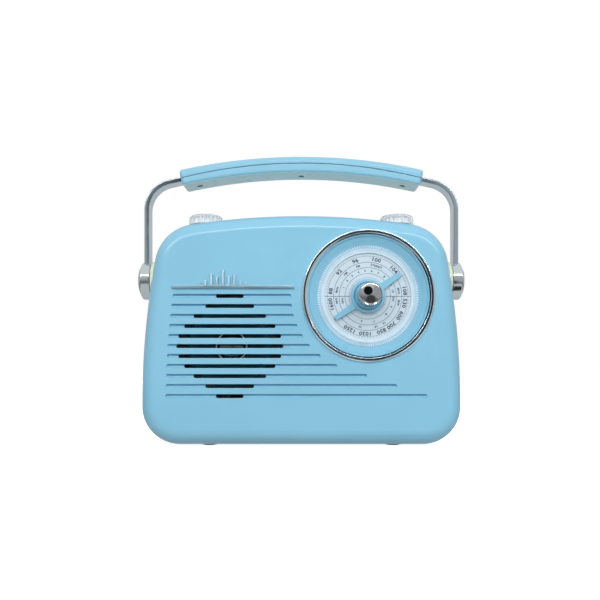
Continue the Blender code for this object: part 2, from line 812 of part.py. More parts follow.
def belly_section(turn):
    wide = GRIP_HALF_DEPTH - 0.1
    inner = GRIP_RADIUS - GRIP_THICKNESS
    seam = seam_radius(turn) - GAP / 2
    return mirrored([(wide, seam), (wide - 0.2, seam - 2.2), (wide - 2.5, inner + 0.8), (wide - 3.9, inner)])


def make_grip():
    outer = GRIP_RADIUS
    inner = outer - GRIP_THICKNESS
    shells = [
        grip_sweep("grip_upper", -GRIP_END_TURN, GRIP_END_TURN, crown_section, 12, "blue_plastic"),
        grip_sweep("grip_lower", -GRIP_END_TURN, GRIP_END_TURN, belly_section, 12, "blue_plastic"),
    ]
    pocket = [(9.0, inner + 2.4), (9.0, outer - 2.4), (-9.0, outer - 2.4), (-9.0, inner + 2.4)]
    tools = []
    for side in (-1, 1):
        near = math.asin(8.0 / outer)
        far = math.asin(70.0 / outer)
        ends = (near, far) if side > 0 else (-far, -near)
        tools.append(grip_sweep(f"grip_pocket_{side}", *ends, lambda turn: pocket, 4))
        path = arm_path(side)[-2:]
        inside = (path[1][0] - side * GAP * 2, path[1][1])
        loose = ARM_THICKNESS / 2 + GAP
        broad = ARM_WIDTH / 2 + GAP
        section = [(-loose, -broad), (loose, -broad), (loose, broad), (-loose, broad)]
        tools.append(swept(f"arm_pocket_{side}", [path[0], inside], section))
    for place, turn in screw_turns().items():
        tools.append(screw_hole(f"grip_hole_{place}", turn))
    for shell in shells:
        cut(shell, *tools)
    return shells


def make_grip_screws():
    profile = [(0, 3.4), (2.0, 3.4), (2.0, 4.5), (1.4, 4.5), (1.4, 13.0), (0, 13.0)]
    screws = []
    for place, turn in screw_turns().items():
        start = grip_point(turn, GRIP_RADIUS - GRIP_THICKNESS - 3, MIDDLE_DEPTH)
        up = (math.sin(turn), 0, math.cos(turn))
        screws.append(turned(f"grip_screw_{place}", profile, start, up, 12, "steel"))
    return screws


def make_arm(side, name):
    """An arm: a bevelled bar that ends in a round eye inside the chrome cap."""
    arm = swept(f"handle_arm_{name}", arm_path(side), arm_section(side), "chrome")
    outwards = (side, 0, 0)
    pivot = (side * ARM_INNER_X, MIDDLE_DEPTH, PIVOT_HEIGHT)
    eye_start = (side * (ARM_INNER_X + 0.1), MIDDLE_DEPTH, PIVOT_HEIGHT)
    eye_length = ARM_THICKNESS - 0.2
    join(arm, rod(f"arm_eye_{name}", ARM_EYE_RADIUS, eye_start, outwards, eye_length, 32))
    below = (pivot[0] - side * 2, MIDDLE_DEPTH, PIVOT_HEIGHT)
    cut(arm, rod(f"arm_bore_{name}", SHAFT_RADIUS + GAP, below, outwards, 10.0, 16))
    cut(arm, screw_hole(f"arm_screw_hole_{name}", screw_turns()[name]))
    return arm


def make_cap(side, name):
    """A chrome cup over the arm's eye, with a notch in its rim for the arm."""
    start = (0, MIDDLE_DEPTH, PIVOT_HEIGHT)
    inside = CAP_RADIUS - CAP_WALL
    head_clear = CAP_FLOOR_X + BOLT_HEAD_THICKNESS + 2 * GAP
    profile = [
        (inside, CAP_INNER_X),
        (CAP_RADIUS, CAP_INNER_X),
        (CAP_RADIUS, CAP_RIM_X),
        (CAP_RADIUS - 1.0, CAP_RIM_X + 1.3),
        (CAP_RADIUS - 5.5, CAP_OUTER_X - 0.5),
        (0, CAP_OUTER_X),
        (0, head_clear),
        (5.2, head_clear),
        (5.2, CAP_FLOOR_X),
        (inside, CAP_FLOOR_X),
    ]
    cap = turned(f"pivot_cap_{name}", profile, start, (side, 0, 0), 32, "chrome")
    half = ARM_WIDTH / 2 + GAP
    near, far = sorted((side * (CAP_INNER_X - 1), side * (CAP_FLOOR_X - 0.05)))
    low = (near, MIDDLE_DEPTH - half, PIVOT_HEIGHT + 8)
    cut(cap, block(f"cap_notch_{name}", low, (far, MIDDLE_DEPTH + half, PIVOT_HEIGHT + 20)))
    return cap


def make_pivot_mounts(side, name):
    """The cream boss in the case's side, and the bolt through it that the arm turns on."""
    start = (0, MIDDLE_DEPTH, PIVOT_HEIGHT)
    bore = SHAFT_RADIUS + GAP
    boss = [
        (bore, BOSS_INNER_X),
        (BOSS_RADIUS, BOSS_INNER_X),
        (BOSS_RADIUS, BOSS_OUTER_X - 0.6),
        (BOSS_RADIUS - 0.6, BOSS_OUTER_X),
        (SPACER_RADIUS, BOSS_OUTER_X),
        (SPACER_RADIUS, ARM_INNER_X - GAP),
        (bore, ARM_INNER_X - GAP),
    ]
    turned(f"handle_boss_{name}", boss, start, (side, 0, 0), 24, "cream_plastic")
    nut_end = BOSS_INNER_X - GAP
    head = ARM_INNER_X + ARM_THICKNESS + GAP
    bolt = [
        (0, nut_end - 5.4),
        (SHAFT_RADIUS, nut_end - 5.4),
        (5.5, nut_end - 4.2),
        (5.5, nut_end),
        (SHAFT_RADIUS, nut_end),
        (SHAFT_RADIUS, head),
        (4.8, head),
        (4.8, head + BOLT_HEAD_THICKNESS),
        (0, head + BOLT_HEAD_THICKNESS),
    ]
    turned(f"pivot_bolt_{name}", bolt, start, (side, 0, 0), 16, "steel")


def make_handle():
    moving = make_grip() + make_grip_screws()
    for side, name in ((-1, "left"), (1, "right")):
        moving.append(make_arm(side, name))
        moving.append(make_cap(side, name))
        make_pivot_mounts(side, name)
    hang(axis_at("handle_axis", 0, MIDDLE_DEPTH, PIVOT_HEIGHT), *moving)


# --- Inside ------------------------------------------------------------------------------------

BOARD_DEPTH = 27.0
BOARD_THICKNESS = 1.6
ROD_HEIGHT = 152.0
ROD_DEPTH = 40.0


def make_board():
    board_back = BOARD_DEPTH + BOARD_THICKNESS
    low = (12.0, BOARD_DEPTH, 60.0)
    block("circuit_board", low, (92.0, board_back, 155.0), "board")
    behind = board_back + GAP
    holder = block("rod_holder", (14.0, behind, 145.0), (60.0, behind + 2.4, 158.0), "black_plastic")
    for i, x in enumerate((14.0, 55.0)):
        join(holder, block(f"holder_arm_{i}", (x + 0.2, behind + 1, 145.2), (x + 4.8, 47.0, 158.8)))
    bore = rod("holder_bore", 5.3, (5.0, ROD_DEPTH, ROD_HEIGHT), (1, 0, 0), 62.0, 16)
    cut(holder, bore)
    along = (1, 0, 0)
    rod("ferrite_rod", 5.0, (-44.0, ROD_DEPTH, ROD_HEIGHT), along, 108.0, 16, "ferrite")
    coil = [(5.3, 0), (6.8, 0), (6.8, 32.0), (5.3, 32.0)]
    turned("antenna_coil", coil, (-34.0, ROD_DEPTH, ROD_HEIGHT), along, 20, "copper")
    block("if_transformer", (30.0, behind, 112.0), (37.0, behind + 12, 119.0), "steel")
    block("amplifier_chip", (56.0, behind, 84.0), (76.0, behind + 4, 91.0), "black_plastic")
    lead = (42.0, behind, 76.0)
    rod("filter_capacitor", 5.0, lead, (0, 1, 0), 14.0, 16, "battery_wrap")


def make_jacks():
    inner = CASE_DEPTH - WALL
    for name, radius, height in (("headphone", 3.0, 84.0), ("power", 4.0, 66.0)):
        bore = radius - 1.2
        profile = [
            (bore, 1.6),
            (radius, 1.6),
            (radius, -GAP),
            (radius + 2.2, -GAP),
            (radius + 2.2, -12),
            (0, -12),
            (0, -10),
            (bore, -10),
        ]
        start = (JACK_X, inner, height)
        turned(f"{name}_jack", profile, start, (0, 1, 0), 16, "black_plastic")


def make_battery_box():
    rim = CASE_DEPTH - WALL - GAP
    half = BOX_HALF_LENGTH + BOX_WALL
    low = CELL_HEIGHT - CELL_RADIUS - 0.5
    high = CELL_HEIGHT + CELL_RADIUS + 0.5
    front = CELL_DEPTH - CELL_RADIUS - 0.5
    box = block(
        "battery_box",
        (-half, front - BOX_WALL, low - BOX_WALL),
        (half, rim, high + BOX_WALL),
        "black_plastic",
    )
    cut(box, block("box_hollow", (-BOX_HALF_LENGTH, front, low), (BOX_HALF_LENGTH, rim + 5, high)))
    nub = [(0, 0), (CELL_RADIUS, 0), (CELL_RADIUS, CELL_LENGTH), (5, CELL_LENGTH), (5, CELL_LENGTH + 1.5)]
    nub.append((0, CELL_LENGTH + 1.5))
    end = BOX_HALF_LENGTH - 0.8
    for name, start in (("right", end - CELL_LENGTH - 1.5), ("left", end - 2 * CELL_LENGTH - 3.5)):
        cell = (start, CELL_DEPTH, CELL_HEIGHT)
        turned(f"battery_{name}", nub, cell, (1, 0, 0), 20, "battery_wrap")
    spring_end = end - 2 * CELL_LENGTH - 3.5 - GAP
    make_spring(-BOX_HALF_LENGTH + 0.5, spring_end)


def make_spring(first, last):
    """The negative contact: a short conical coil between the box's end and the cell."""
    turns = 2.5
    steps = 30
    wire = 0.5
    curve = bpy.data.curves.new("battery_spring", "CURVE")
    curve.dimensions = "3D"
    curve.bevel_depth = wire * MM
    curve.bevel_resolution = 1
    curve.use_fill_caps = True
    path = curve.splines.new("POLY")
    path.points.add(steps)
    for i, point in enumerate(path.points):
        share = i / steps
        turn = math.tau * turns * share
        radius = 8.0 - 4.0 * share
        x = first + wire + (last - first - 2 * wire) * share
        place = (x, CELL_DEPTH + radius * math.cos(turn), CELL_HEIGHT + radius * math.sin(turn))
        point.co = (*world(*place), 1.0)
    curve.materials.append(material_of("steel"))
    spring = bpy.data.objects.new("battery_spring", curve)
    bpy.context.scene.collection.objects.link(spring)


def make_battery_door():
    """The door, with a finger latch on its upper edge."""
    outer = CASE_DEPTH
    door = block(
        "battery_door",
        (-DOOR_HALF_LENGTH, outer - DOOR_THICKNESS, DOOR_LOW),
        (DOOR_HALF_LENGTH, outer, DOOR_HIGH),
        "blue_plastic",
    )
    notch = block("latch_notch", (-9, outer - 0.9, DOOR_HIGH - 7), (9, outer + 1, DOOR_HIGH - 3.4))
    cut(door, notch)


# --- Telescopic antenna ------------------------------------------------------------------------


def make_antenna():
    """A swivelling fork on the step's floor, and three sections that slide inside each other."""
    upright = (0, 0, 1)
    foot = (ANTENNA_X, ANTENNA_DEPTH, STEP_FLOOR + GAP)
    swivel = rod("antenna_swivel", 5.0, foot, upright, 2.0, 20, "chrome")
    pin_foot = (ANTENNA_X, ANTENNA_DEPTH, STEP_FLOOR - 5)
    join(swivel, rod("swivel_pin", 2.2, pin_foot, upright, 6.0, 12))
    for side in (-1, 1):
        near = ANTENNA_DEPTH + side * 2.2
        far = ANTENNA_DEPTH + side * 4.0
        depths = sorted((near, far))
        low = (ANTENNA_X - 3, depths[0], STEP_FLOOR + 1)
        high = (ANTENNA_X + 3, depths[1], ANTENNA_HEIGHT + 3)
        join(swivel, block(f"swivel_ear_{side}", low, high))
    pin_start = (ANTENNA_X, ANTENNA_DEPTH - 3.8, ANTENNA_HEIGHT)
    join(swivel, rod("tilt_pin", 1.2, pin_start, (0, 1, 0), 7.6, 12))
    hang(axis_at("antenna_swivel_axis", *foot), swivel)

    inwards = (-1, 0, 0)
    reach = ANTENNA_X - TUBE_END_X
    neck = (ANTENNA_X, ANTENNA_DEPTH, ANTENNA_HEIGHT)
    tube = [(0, 6), (3.4, 6), (3.4, reach), (2.9, reach), (2.9, 10), (0, 10)]
    outer = turned("antenna_outer_tube", tube, neck, inwards, 16, "chrome")
    low = (ANTENNA_X - 8, ANTENNA_DEPTH - 1.8, ANTENNA_HEIGHT - 2.4)
    high = (ANTENNA_X, ANTENNA_DEPTH + 1.8, ANTENNA_HEIGHT + 2.4)
    join(outer, block("antenna_neck", low, high))
    eye = (ANTENNA_X, ANTENNA_DEPTH - 1.7, ANTENNA_HEIGHT)
    join(outer, rod("antenna_eye", 2.8, eye, (0, 1, 0), 3.4, 16))
    pin_clear = (ANTENNA_X, ANTENNA_DEPTH - 5, ANTENNA_HEIGHT)
    cut(outer, rod("antenna_eye_bore", 1.5, pin_clear, (0, 1, 0), 10, 12))

    tube = [(0, 12), (2.6, 12), (2.6, reach + 2), (2.0, reach + 2), (2.0, 14), (0, 14)]
    middle = turned("antenna_middle_tube", tube, neck, inwards, 16, "chrome")
    tip = [(0, 16), (1.7, 16), (1.7, reach + 2.4), (3.2, reach + 2.8), (3.2, reach + 6.4)]
    tip += [(2.2, reach + 7.6), (0, reach + 7.6)]
    rod_end = turned("antenna_tip_rod", tip, neck, inwards, 16, "chrome")
    hang(axis_at("antenna_tilt_axis", *neck), outer, middle, rod_end)


def main():
    clear_scene()
    make_front_cabinet()
    make_back_cover()
    make_cover_screws()
    make_feet()
    make_badge()
    make_dial()
    make_tuning()
    make_tuning_capacitor()
    make_speaker()
    make_top_controls()
    make_handle()
    make_board()
    make_jacks()
    make_battery_box()
    make_battery_door()
    make_antenna()


main()
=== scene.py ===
"""The looks of a retro portable radio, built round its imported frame.

Lengths are in millimetres in case coordinates: x from the case's middle, depth behind the flat
front face, and height above the underside of the case. A helper turns them into metres.
"""

import json
import math

import bmesh
import bpy
from mathutils import Matrix, Vector

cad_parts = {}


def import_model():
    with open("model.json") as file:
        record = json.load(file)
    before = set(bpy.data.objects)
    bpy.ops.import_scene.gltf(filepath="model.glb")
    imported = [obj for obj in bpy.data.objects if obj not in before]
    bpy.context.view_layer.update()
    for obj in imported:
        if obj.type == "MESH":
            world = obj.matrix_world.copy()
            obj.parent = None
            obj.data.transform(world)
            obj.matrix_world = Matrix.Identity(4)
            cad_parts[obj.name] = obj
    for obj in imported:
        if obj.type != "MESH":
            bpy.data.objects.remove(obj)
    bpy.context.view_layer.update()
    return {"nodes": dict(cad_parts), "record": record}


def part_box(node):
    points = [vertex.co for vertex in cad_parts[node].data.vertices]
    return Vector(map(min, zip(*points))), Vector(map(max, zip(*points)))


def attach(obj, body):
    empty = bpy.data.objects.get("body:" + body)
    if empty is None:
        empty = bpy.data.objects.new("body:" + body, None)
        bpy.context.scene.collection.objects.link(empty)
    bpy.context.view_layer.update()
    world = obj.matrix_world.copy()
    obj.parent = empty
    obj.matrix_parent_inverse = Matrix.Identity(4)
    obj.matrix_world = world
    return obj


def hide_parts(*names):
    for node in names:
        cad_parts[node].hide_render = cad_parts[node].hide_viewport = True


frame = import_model()

MM = 0.001


def box_of(node):
    low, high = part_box(node)
    return Vector(low), Vector(high)


# The case. The frame gives its box; the radii of its outline are its design values.
CABINET_LOW, CABINET_HIGH = box_of("front_cabinet")
COVER_LOW, COVER_HIGH = box_of("back_cover")
FRONT_Y = CABINET_LOW.y / MM
BASE_Z = CABINET_LOW.z / MM
CASE_HEIGHT = (CABINET_HIGH.z - CABINET_LOW.z) / MM
CASE_DEPTH = COVER_HIGH.y / MM - FRONT_Y
SEAM_DEPTH = CABINET_HIGH.y / MM - FRONT_Y
MIDDLE_DEPTH = CASE_DEPTH / 2
GAP = COVER_LOW.y / MM - FRONT_Y - SEAM_DEPTH
CASE_HALF_WIDTH = 120.0
WIDEST_HEIGHT = 30.0
SIDE_RADIUS = 615.0
TOP_RADIUS = 555.0
UPPER_CORNER = 33.0
LOWER_CORNER = 28.5
FRONT_FILLET = 12.0
BACK_FILLET = 7.0
WALL = 2.4


def corners_of(node):
    """A node's low and high corners in case coordinates."""
    return [(spot.x / MM, spot.y / MM - FRONT_Y, spot.z / MM - BASE_Z) for spot in box_of(node)]


def centre_of(node):
    """A node's middle in case coordinates."""
    low, high = box_of(node)
    middle = (low + high) / 2 / MM
    return middle.x, middle.y - FRONT_Y, middle.z - BASE_Z


INWARDS = (0, 1, 0)
OUTWARDS = (0, -1, 0)
UPWARDS = (0, 0, 1)
DIAL_X, _, DIAL_HEIGHT = centre_of("dial_plate")
DIAL_CENTRE = (DIAL_X, 0, DIAL_HEIGHT)


# --- Places and mesh helpers -------------------------------------------------------------------


def world(x, depth, height):
    return Vector((x, FRONT_Y + depth, BASE_Z + height)) * MM


def new_piece(name, mesh, finish, body, nodes, weighted=False):
    """Link a mesh as a piece that rides on a body and stands for CAD nodes."""
    piece = bpy.data.objects.new(name, mesh)
    bpy.context.scene.collection.objects.link(piece)
    mesh.materials.clear()
    mesh.materials.append(MATERIALS[finish])
    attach(piece, body)
    if nodes:
        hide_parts(*nodes)
    if weighted:
        modifier = piece.modifiers.new("weighted_normals", "WEIGHTED_NORMAL")
        modifier.keep_sharp = True
        modifier.weight = 80


def smooth(mesh, sharp):
    """Shade a mesh smooth, but for edges sharper than an angle in degrees."""
    mesh.shade_smooth()
    mesh.set_sharp_from_angle(angle=math.radians(sharp))
    return mesh


def mesh_from(bm, name, sharp=32):
    bmesh.ops.remove_doubles(bm, verts=bm.verts, dist=1e-7)
    bmesh.ops.recalc_face_normals(bm, faces=bm.faces)
    mesh = bpy.data.meshes.new(name)
    bm.to_mesh(mesh)
    bm.free()
    return smooth(mesh, sharp)


def join_loops(bm, near, far):
    """Fill between two loops of as many corners; a loop of one corner is a point."""
    count = max(len(near), len(far))
    for i in range(count):
        j = (i + 1) % count
        if len(near) == 1:
            bm.faces.new((near[0], far[j], far[i]))
        elif len(far) == 1:
            bm.faces.new((near[i], near[j], far[0]))
        else:
            bm.faces.new((near[i], near[j], far[j], far[i]))


def loft_into(bm, rings, capped=True):
    """Add a skin through rings of points in case coordinates."""
    loops = [[bm.verts.new(world(*point)) for point in ring] for ring in rings]
    for near, far in zip(loops, loops[1:]):
        join_loops(bm, near, far)
    if capped:
        bm.faces.new(loops[0])
        bm.faces.new(loops[-1])


def lofted(name, rings, sharp=32):
    bm = bmesh.new()
    loft_into(bm, rings)
    return mesh_from(bm, name, sharp)


def layered(outline, depths):
    """Copies of a front-view outline at several depths, as rings."""
    return [[(x, depth, height) for x, height in outline] for depth in depths]


def stepped(outline_at, layers):
    """An outline that draws in by an inset at each depth, as rings."""
    return [layered(outline_at(inset), [depth])[0] for depth, inset in layers]


def turned(name, profile, start, direction, sides, wobble=None, sharp=32):
    """A turned shape; wobble(turn, radius, distance) may change the radius round the turn."""
    facing = Vector(direction).to_track_quat("Z", "Y")
    origin = world(*start)
    bm = bmesh.new()
    loops = []
    for radius, distance in profile:
        loop = []
        for i in range(sides if radius else 1):
            turn = math.tau * i / sides
            reach = wobble(turn, radius, distance) if wobble else radius
            spot = Vector((reach * math.cos(turn), reach * math.sin(turn), distance)) * MM
            loop.append(bm.verts.new(origin + facing @ spot))
        loops.append(loop)
    if profile[0][0] or profile[-1][0]:
        loops.append(loops[0])
    for near, far in zip(loops, loops[1:]):
        if len(near) + len(far) > 2:
            join_loops(bm, near, far)
    return mesh_from(bm, name, sharp)


def turned_piece(name, profile, start, direction, sides, finish, body, nodes, wobble=None, sharp=32):
    mesh = turned(name, profile, start, direction, sides, wobble, sharp)
    new_piece(name, mesh, finish, body, nodes)


def arc(centre, radius, start, end, steps):
    bearings = [math.radians(start + (end - start) * i / steps) for i in range(steps + 1)]
    return [(centre[0] + radius * math.cos(b), centre[1] + radius * math.sin(b)) for b in bearings]


def rounded(points, radii, steps=4):
    """An open outline with some corners rounded off."""
    softened = []
    for i, point in enumerate(points):
        if not radii[i]:
            softened.append(point)
            continue
        here = Vector(point)
        before = (Vector(points[i - 1]) - here).normalized()
        after = (Vector(points[i + 1]) - here).normalized()
        run = radii[i] / math.tan(before.angle(after) / 2)
        start = here + before * run
        end = here + after * run
        for k in range(steps + 1):
            share = k / steps
            bend = start * (1 - share) ** 2 + here * 2 * share * (1 - share) + end * share**2
            softened.append((bend.x, bend.y))
    return softened


def guide(name, data):
    """A solid that only cuts or joins others and never shows."""
    tool = bpy.data.objects.new(name, data)
    bpy.context.scene.collection.objects.link(tool)
    return tool


def block_rings(low, high):
    corners = ((low[0], low[2]), (high[0], low[2]), (high[0], high[2]), (low[0], high[2]))
    return layered(corners, (low[1], high[1]))


def block_guide(name, low, high):
    return guide(name, lofted(name, block_rings(low, high)))


def bar_guide(name, outline, start, direction, near, far):
    """A straight bar with flat ends: an outline across a direction, from near to far along it."""
    facing = Vector(direction).to_track_quat("Z", "Y")
    bm = bmesh.new()
    loops = []
    for distance in (near, far):
        spots = [facing @ (Vector((*corner, distance)) * MM) for corner in outline]
        loops.append([bm.verts.new(world(*start) + spot) for spot in spots])
    join_loops(bm, *loops)
    for loop in loops:
        bm.faces.new(loop)
    return guide(name, mesh_from(bm, name))


def pole_guide(name, radius, start, direction, length, sides=64):
    """A round bar. Its corners are turned a little, so that they miss those of other shapes."""
    turns = [math.tau * (i + 0.37) / sides for i in range(sides)]
    outline = [(radius * math.cos(turn), radius * math.sin(turn)) for turn in turns]
    return bar_guide(name, outline, start, direction, 0, length)


def combine(mesh, tools, operation="DIFFERENCE"):
    """A mesh with tools cut away from it or joined to it. The tools are used up."""
    work = guide("work", mesh)
    for tool in tools:
        modifier = work.modifiers.new(tool.name, "BOOLEAN")
        modifier.operation = operation
        modifier.solver = "EXACT"
        modifier.object = tool
    depsgraph = bpy.context.evaluated_depsgraph_get()
    result = bpy.data.meshes.new_from_object(work.evaluated_get(depsgraph))
    for used in [work, *tools]:
        bpy.data.objects.remove(used, do_unlink=True)
    return result


def settle(mesh, sharp=32):
    """Clean a cut mesh and mark its sharp edges."""
    bm = bmesh.new()
    bm.from_mesh(mesh)
    bmesh.ops.dissolve_degenerate(bm, edges=bm.edges, dist=1e-7)
    bm.to_mesh(mesh)
    bm.free()
    return smooth(mesh, sharp)


# --- Materials ---------------------------------------------------------------------------------


def linear(channel):
    value = channel / 255
    return value / 12.92 if value <= 0.04045 else ((value + 0.055) / 1.055) ** 2.4


def colour(red, green, blue):
    return (linear(red), linear(green), linear(blue), 1.0)


class Nodes:
    """A small builder for a material's node tree."""

    def __init__(self, name):
        self.material = bpy.data.materials.new(name)
        self.material.use_nodes = True
        self.tree = self.material.node_tree
        self.shader = self.tree.nodes["Principled BSDF"]
        self.coordinates = self.add("ShaderNodeTexCoord").outputs["Object"]

    def add(self, kind, **settings):
        node = self.tree.nodes.new(kind)
        for key, value in settings.items():
            setattr(node, key, value)
        return node

    def link(self, output, target):
        self.tree.links.new(output, target)

    def noise(self, scale, detail=3.0, stretch=(1, 1, 1)):
        mapping = self.add("ShaderNodeMapping")
        mapping.inputs["Scale"].default_value = stretch
        self.link(self.coordinates, mapping.inputs["Vector"])
        noise = self.add("ShaderNodeTexNoise")
        noise.inputs["Scale"].default_value = scale
        noise.inputs["Detail"].default_value = detail
        self.link(mapping.outputs["Vector"], noise.inputs["Vector"])
        return noise.outputs["Fac"]

    def ramp(self, source, low, high, start=0.3, end=0.7):
        """Map a value between two greys or colours."""
        ramp = self.add("ShaderNodeValToRGB")
        first, last = ramp.color_ramp.elements
        first.position, last.position = start, end
        first.color = low if isinstance(low, tuple) else (low, low, low, 1)
        last.color = high if isinstance(high, tuple) else (high, high, high, 1)
        self.link(source, ramp.inputs["Fac"])
        return ramp.outputs["Color"]

    def mix(self, share, first, second, blend="MIX"):
        mix = self.add("ShaderNodeMix", data_type="RGBA", blend_type=blend)
        for value, socket in ((share, 0), (first, 6), (second, 7)):
            if isinstance(value, (int, float, tuple)):
                mix.inputs[socket].default_value = value
            else:
                self.link(value, mix.inputs[socket])
        return mix.outputs[2]

    def bump(self, height, strength, distance):
        bump = self.add("ShaderNodeBump")
        bump.inputs["Strength"].default_value = strength
        bump.inputs["Distance"].default_value = distance
        self.link(height, bump.inputs["Height"])
        previous = self.shader.inputs["Normal"].links
        if previous:
            self.link(previous[0].from_socket, bump.inputs["Normal"])
        self.link(bump.outputs["Normal"], self.shader.inputs["Normal"])

    def set(self, **values):
        for key, value in values.items():
            self.shader.inputs[key.replace("_", " ")].default_value = value

    def tint(self, source, rgba, low, high):
        """Let a noise vary a colour between two shades of it."""
        shades = self.ramp(source, shade_of(rgba, low), shade_of(rgba, high))
        self.link(shades, self.shader.inputs["Base Color"])

    def polish(self, source, roughness, low, high):
        """Let a noise vary the roughness between two multiples of it."""
        self.link(self.ramp(source, roughness * low, roughness * high), self.shader.inputs["Roughness"])


def shade_of(rgba, factor):
    return (*[min(1.0, channel * factor) for channel in rgba[:3]], 1.0)


def plastic(name, rgba, roughness, grain=0.12, coat=0.3, wear=0.35):
    """Moulded plastic: a faint mottle, a fine moulded grain, and lighter, rubbed edges."""
    made = Nodes(name)
    mottle = made.ramp(made.noise(14, 4), shade_of(rgba, 0.965), shade_of(rgba, 1.03))
    geometry = made.add("ShaderNodeNewGeometry")
    rubbed = made.ramp(geometry.outputs["Pointiness"], 0.0, 1.0, 0.53, 0.62)
    patchy = made.mix(1.0, rubbed, made.ramp(made.noise(55, 5), 0.0, 1.0, 0.42, 0.6), "MULTIPLY")
    share = made.mix(1.0, patchy, (wear, wear, wear, 1), "MULTIPLY")
    made.link(made.mix(share, mottle, shade_of(rgba, 1.28)), made.shader.inputs["Base Color"])
    made.polish(made.noise(38, 5), roughness, 0.86, 1.18)
    made.bump(made.noise(2600, 2), grain, 0.00004)
    made.bump(made.noise(90, 2), 0.05, 0.0003)
    made.set(Coat_Weight=coat, Coat_Roughness=0.03, Specular_IOR_Level=0.3)
    return made.material


def plated(name, rgba, roughness, flow=(1, 1, 1)):
    """Bright plating: soft ripples, faint smudges and hairline wiping marks."""
    made = Nodes(name)
    smudge = made.noise(45, 5)
    made.tint(smudge, rgba, 0.9, 1.04)
    made.polish(smudge, roughness, 0.7, 1.7)
    made.bump(made.noise(60, 2), 0.06, 0.0004)
    made.bump(made.noise(1400, 3, flow), 0.04, 0.00003)
    made.set(Metallic=1.0)
    return made.material


def clear_plastic(name, rgba, roughness, through=0.55):
    """Milky clear plastic with a slightly uneven body."""
    made = Nodes(name)
    haze = made.noise(120, 4)
    made.tint(haze, rgba, 0.93, 1.05)
    made.polish(haze, roughness, 0.8, 1.3)
    made.bump(made.noise(1500, 2), 0.06, 0.00004)
    made.set(Transmission_Weight=through, IOR=1.45)
    return made.material


def faded_ring(name, inner, outer, roughness):
    """Frosted clear plastic that takes on more of the case's blue towards its rim."""
    made = Nodes(name)
    offset = made.add("ShaderNodeVectorMath", operation="SUBTRACT")
    offset.inputs[1].default_value = world(*DIAL_CENTRE)
    made.link(made.coordinates, offset.inputs[0])
    flat = made.add("ShaderNodeVectorMath", operation="MULTIPLY")
    flat.inputs[1].default_value = (25.0, 0.0, 25.0)
    made.link(offset.outputs["Vector"], flat.inputs[0])
    reach = made.add("ShaderNodeVectorMath", operation="LENGTH")
    made.link(flat.outputs["Vector"], reach.inputs[0])
    tint = made.ramp(reach.outputs["Value"], inner, outer, 0.84, 0.94)
    made.link(tint, made.shader.inputs["Base Color"])
    made.polish(made.noise(120, 4), roughness, 0.8, 1.3)
    made.bump(made.noise(1500, 2), 0.06, 0.00004)
    made.set(IOR=1.45)
    return made.material


def matte(name, rgba, roughness, grain_scale=900.0, grain=0.25, depth=0.0001, metallic=0.0, cloudy=0.2):
    """Plain dull stuff with visible grain: rubber, pressed paper, board or black moulding."""
    made = Nodes(name)
    cloud = made.noise(60, 5)
    made.tint(cloud, rgba, 1 - cloudy, 1 + cloudy)
    made.polish(cloud, roughness, 0.88, 1.1)
    made.bump(made.noise(grain_scale, 4), grain, depth)
    made.set(Metallic=metallic)
    return made.material


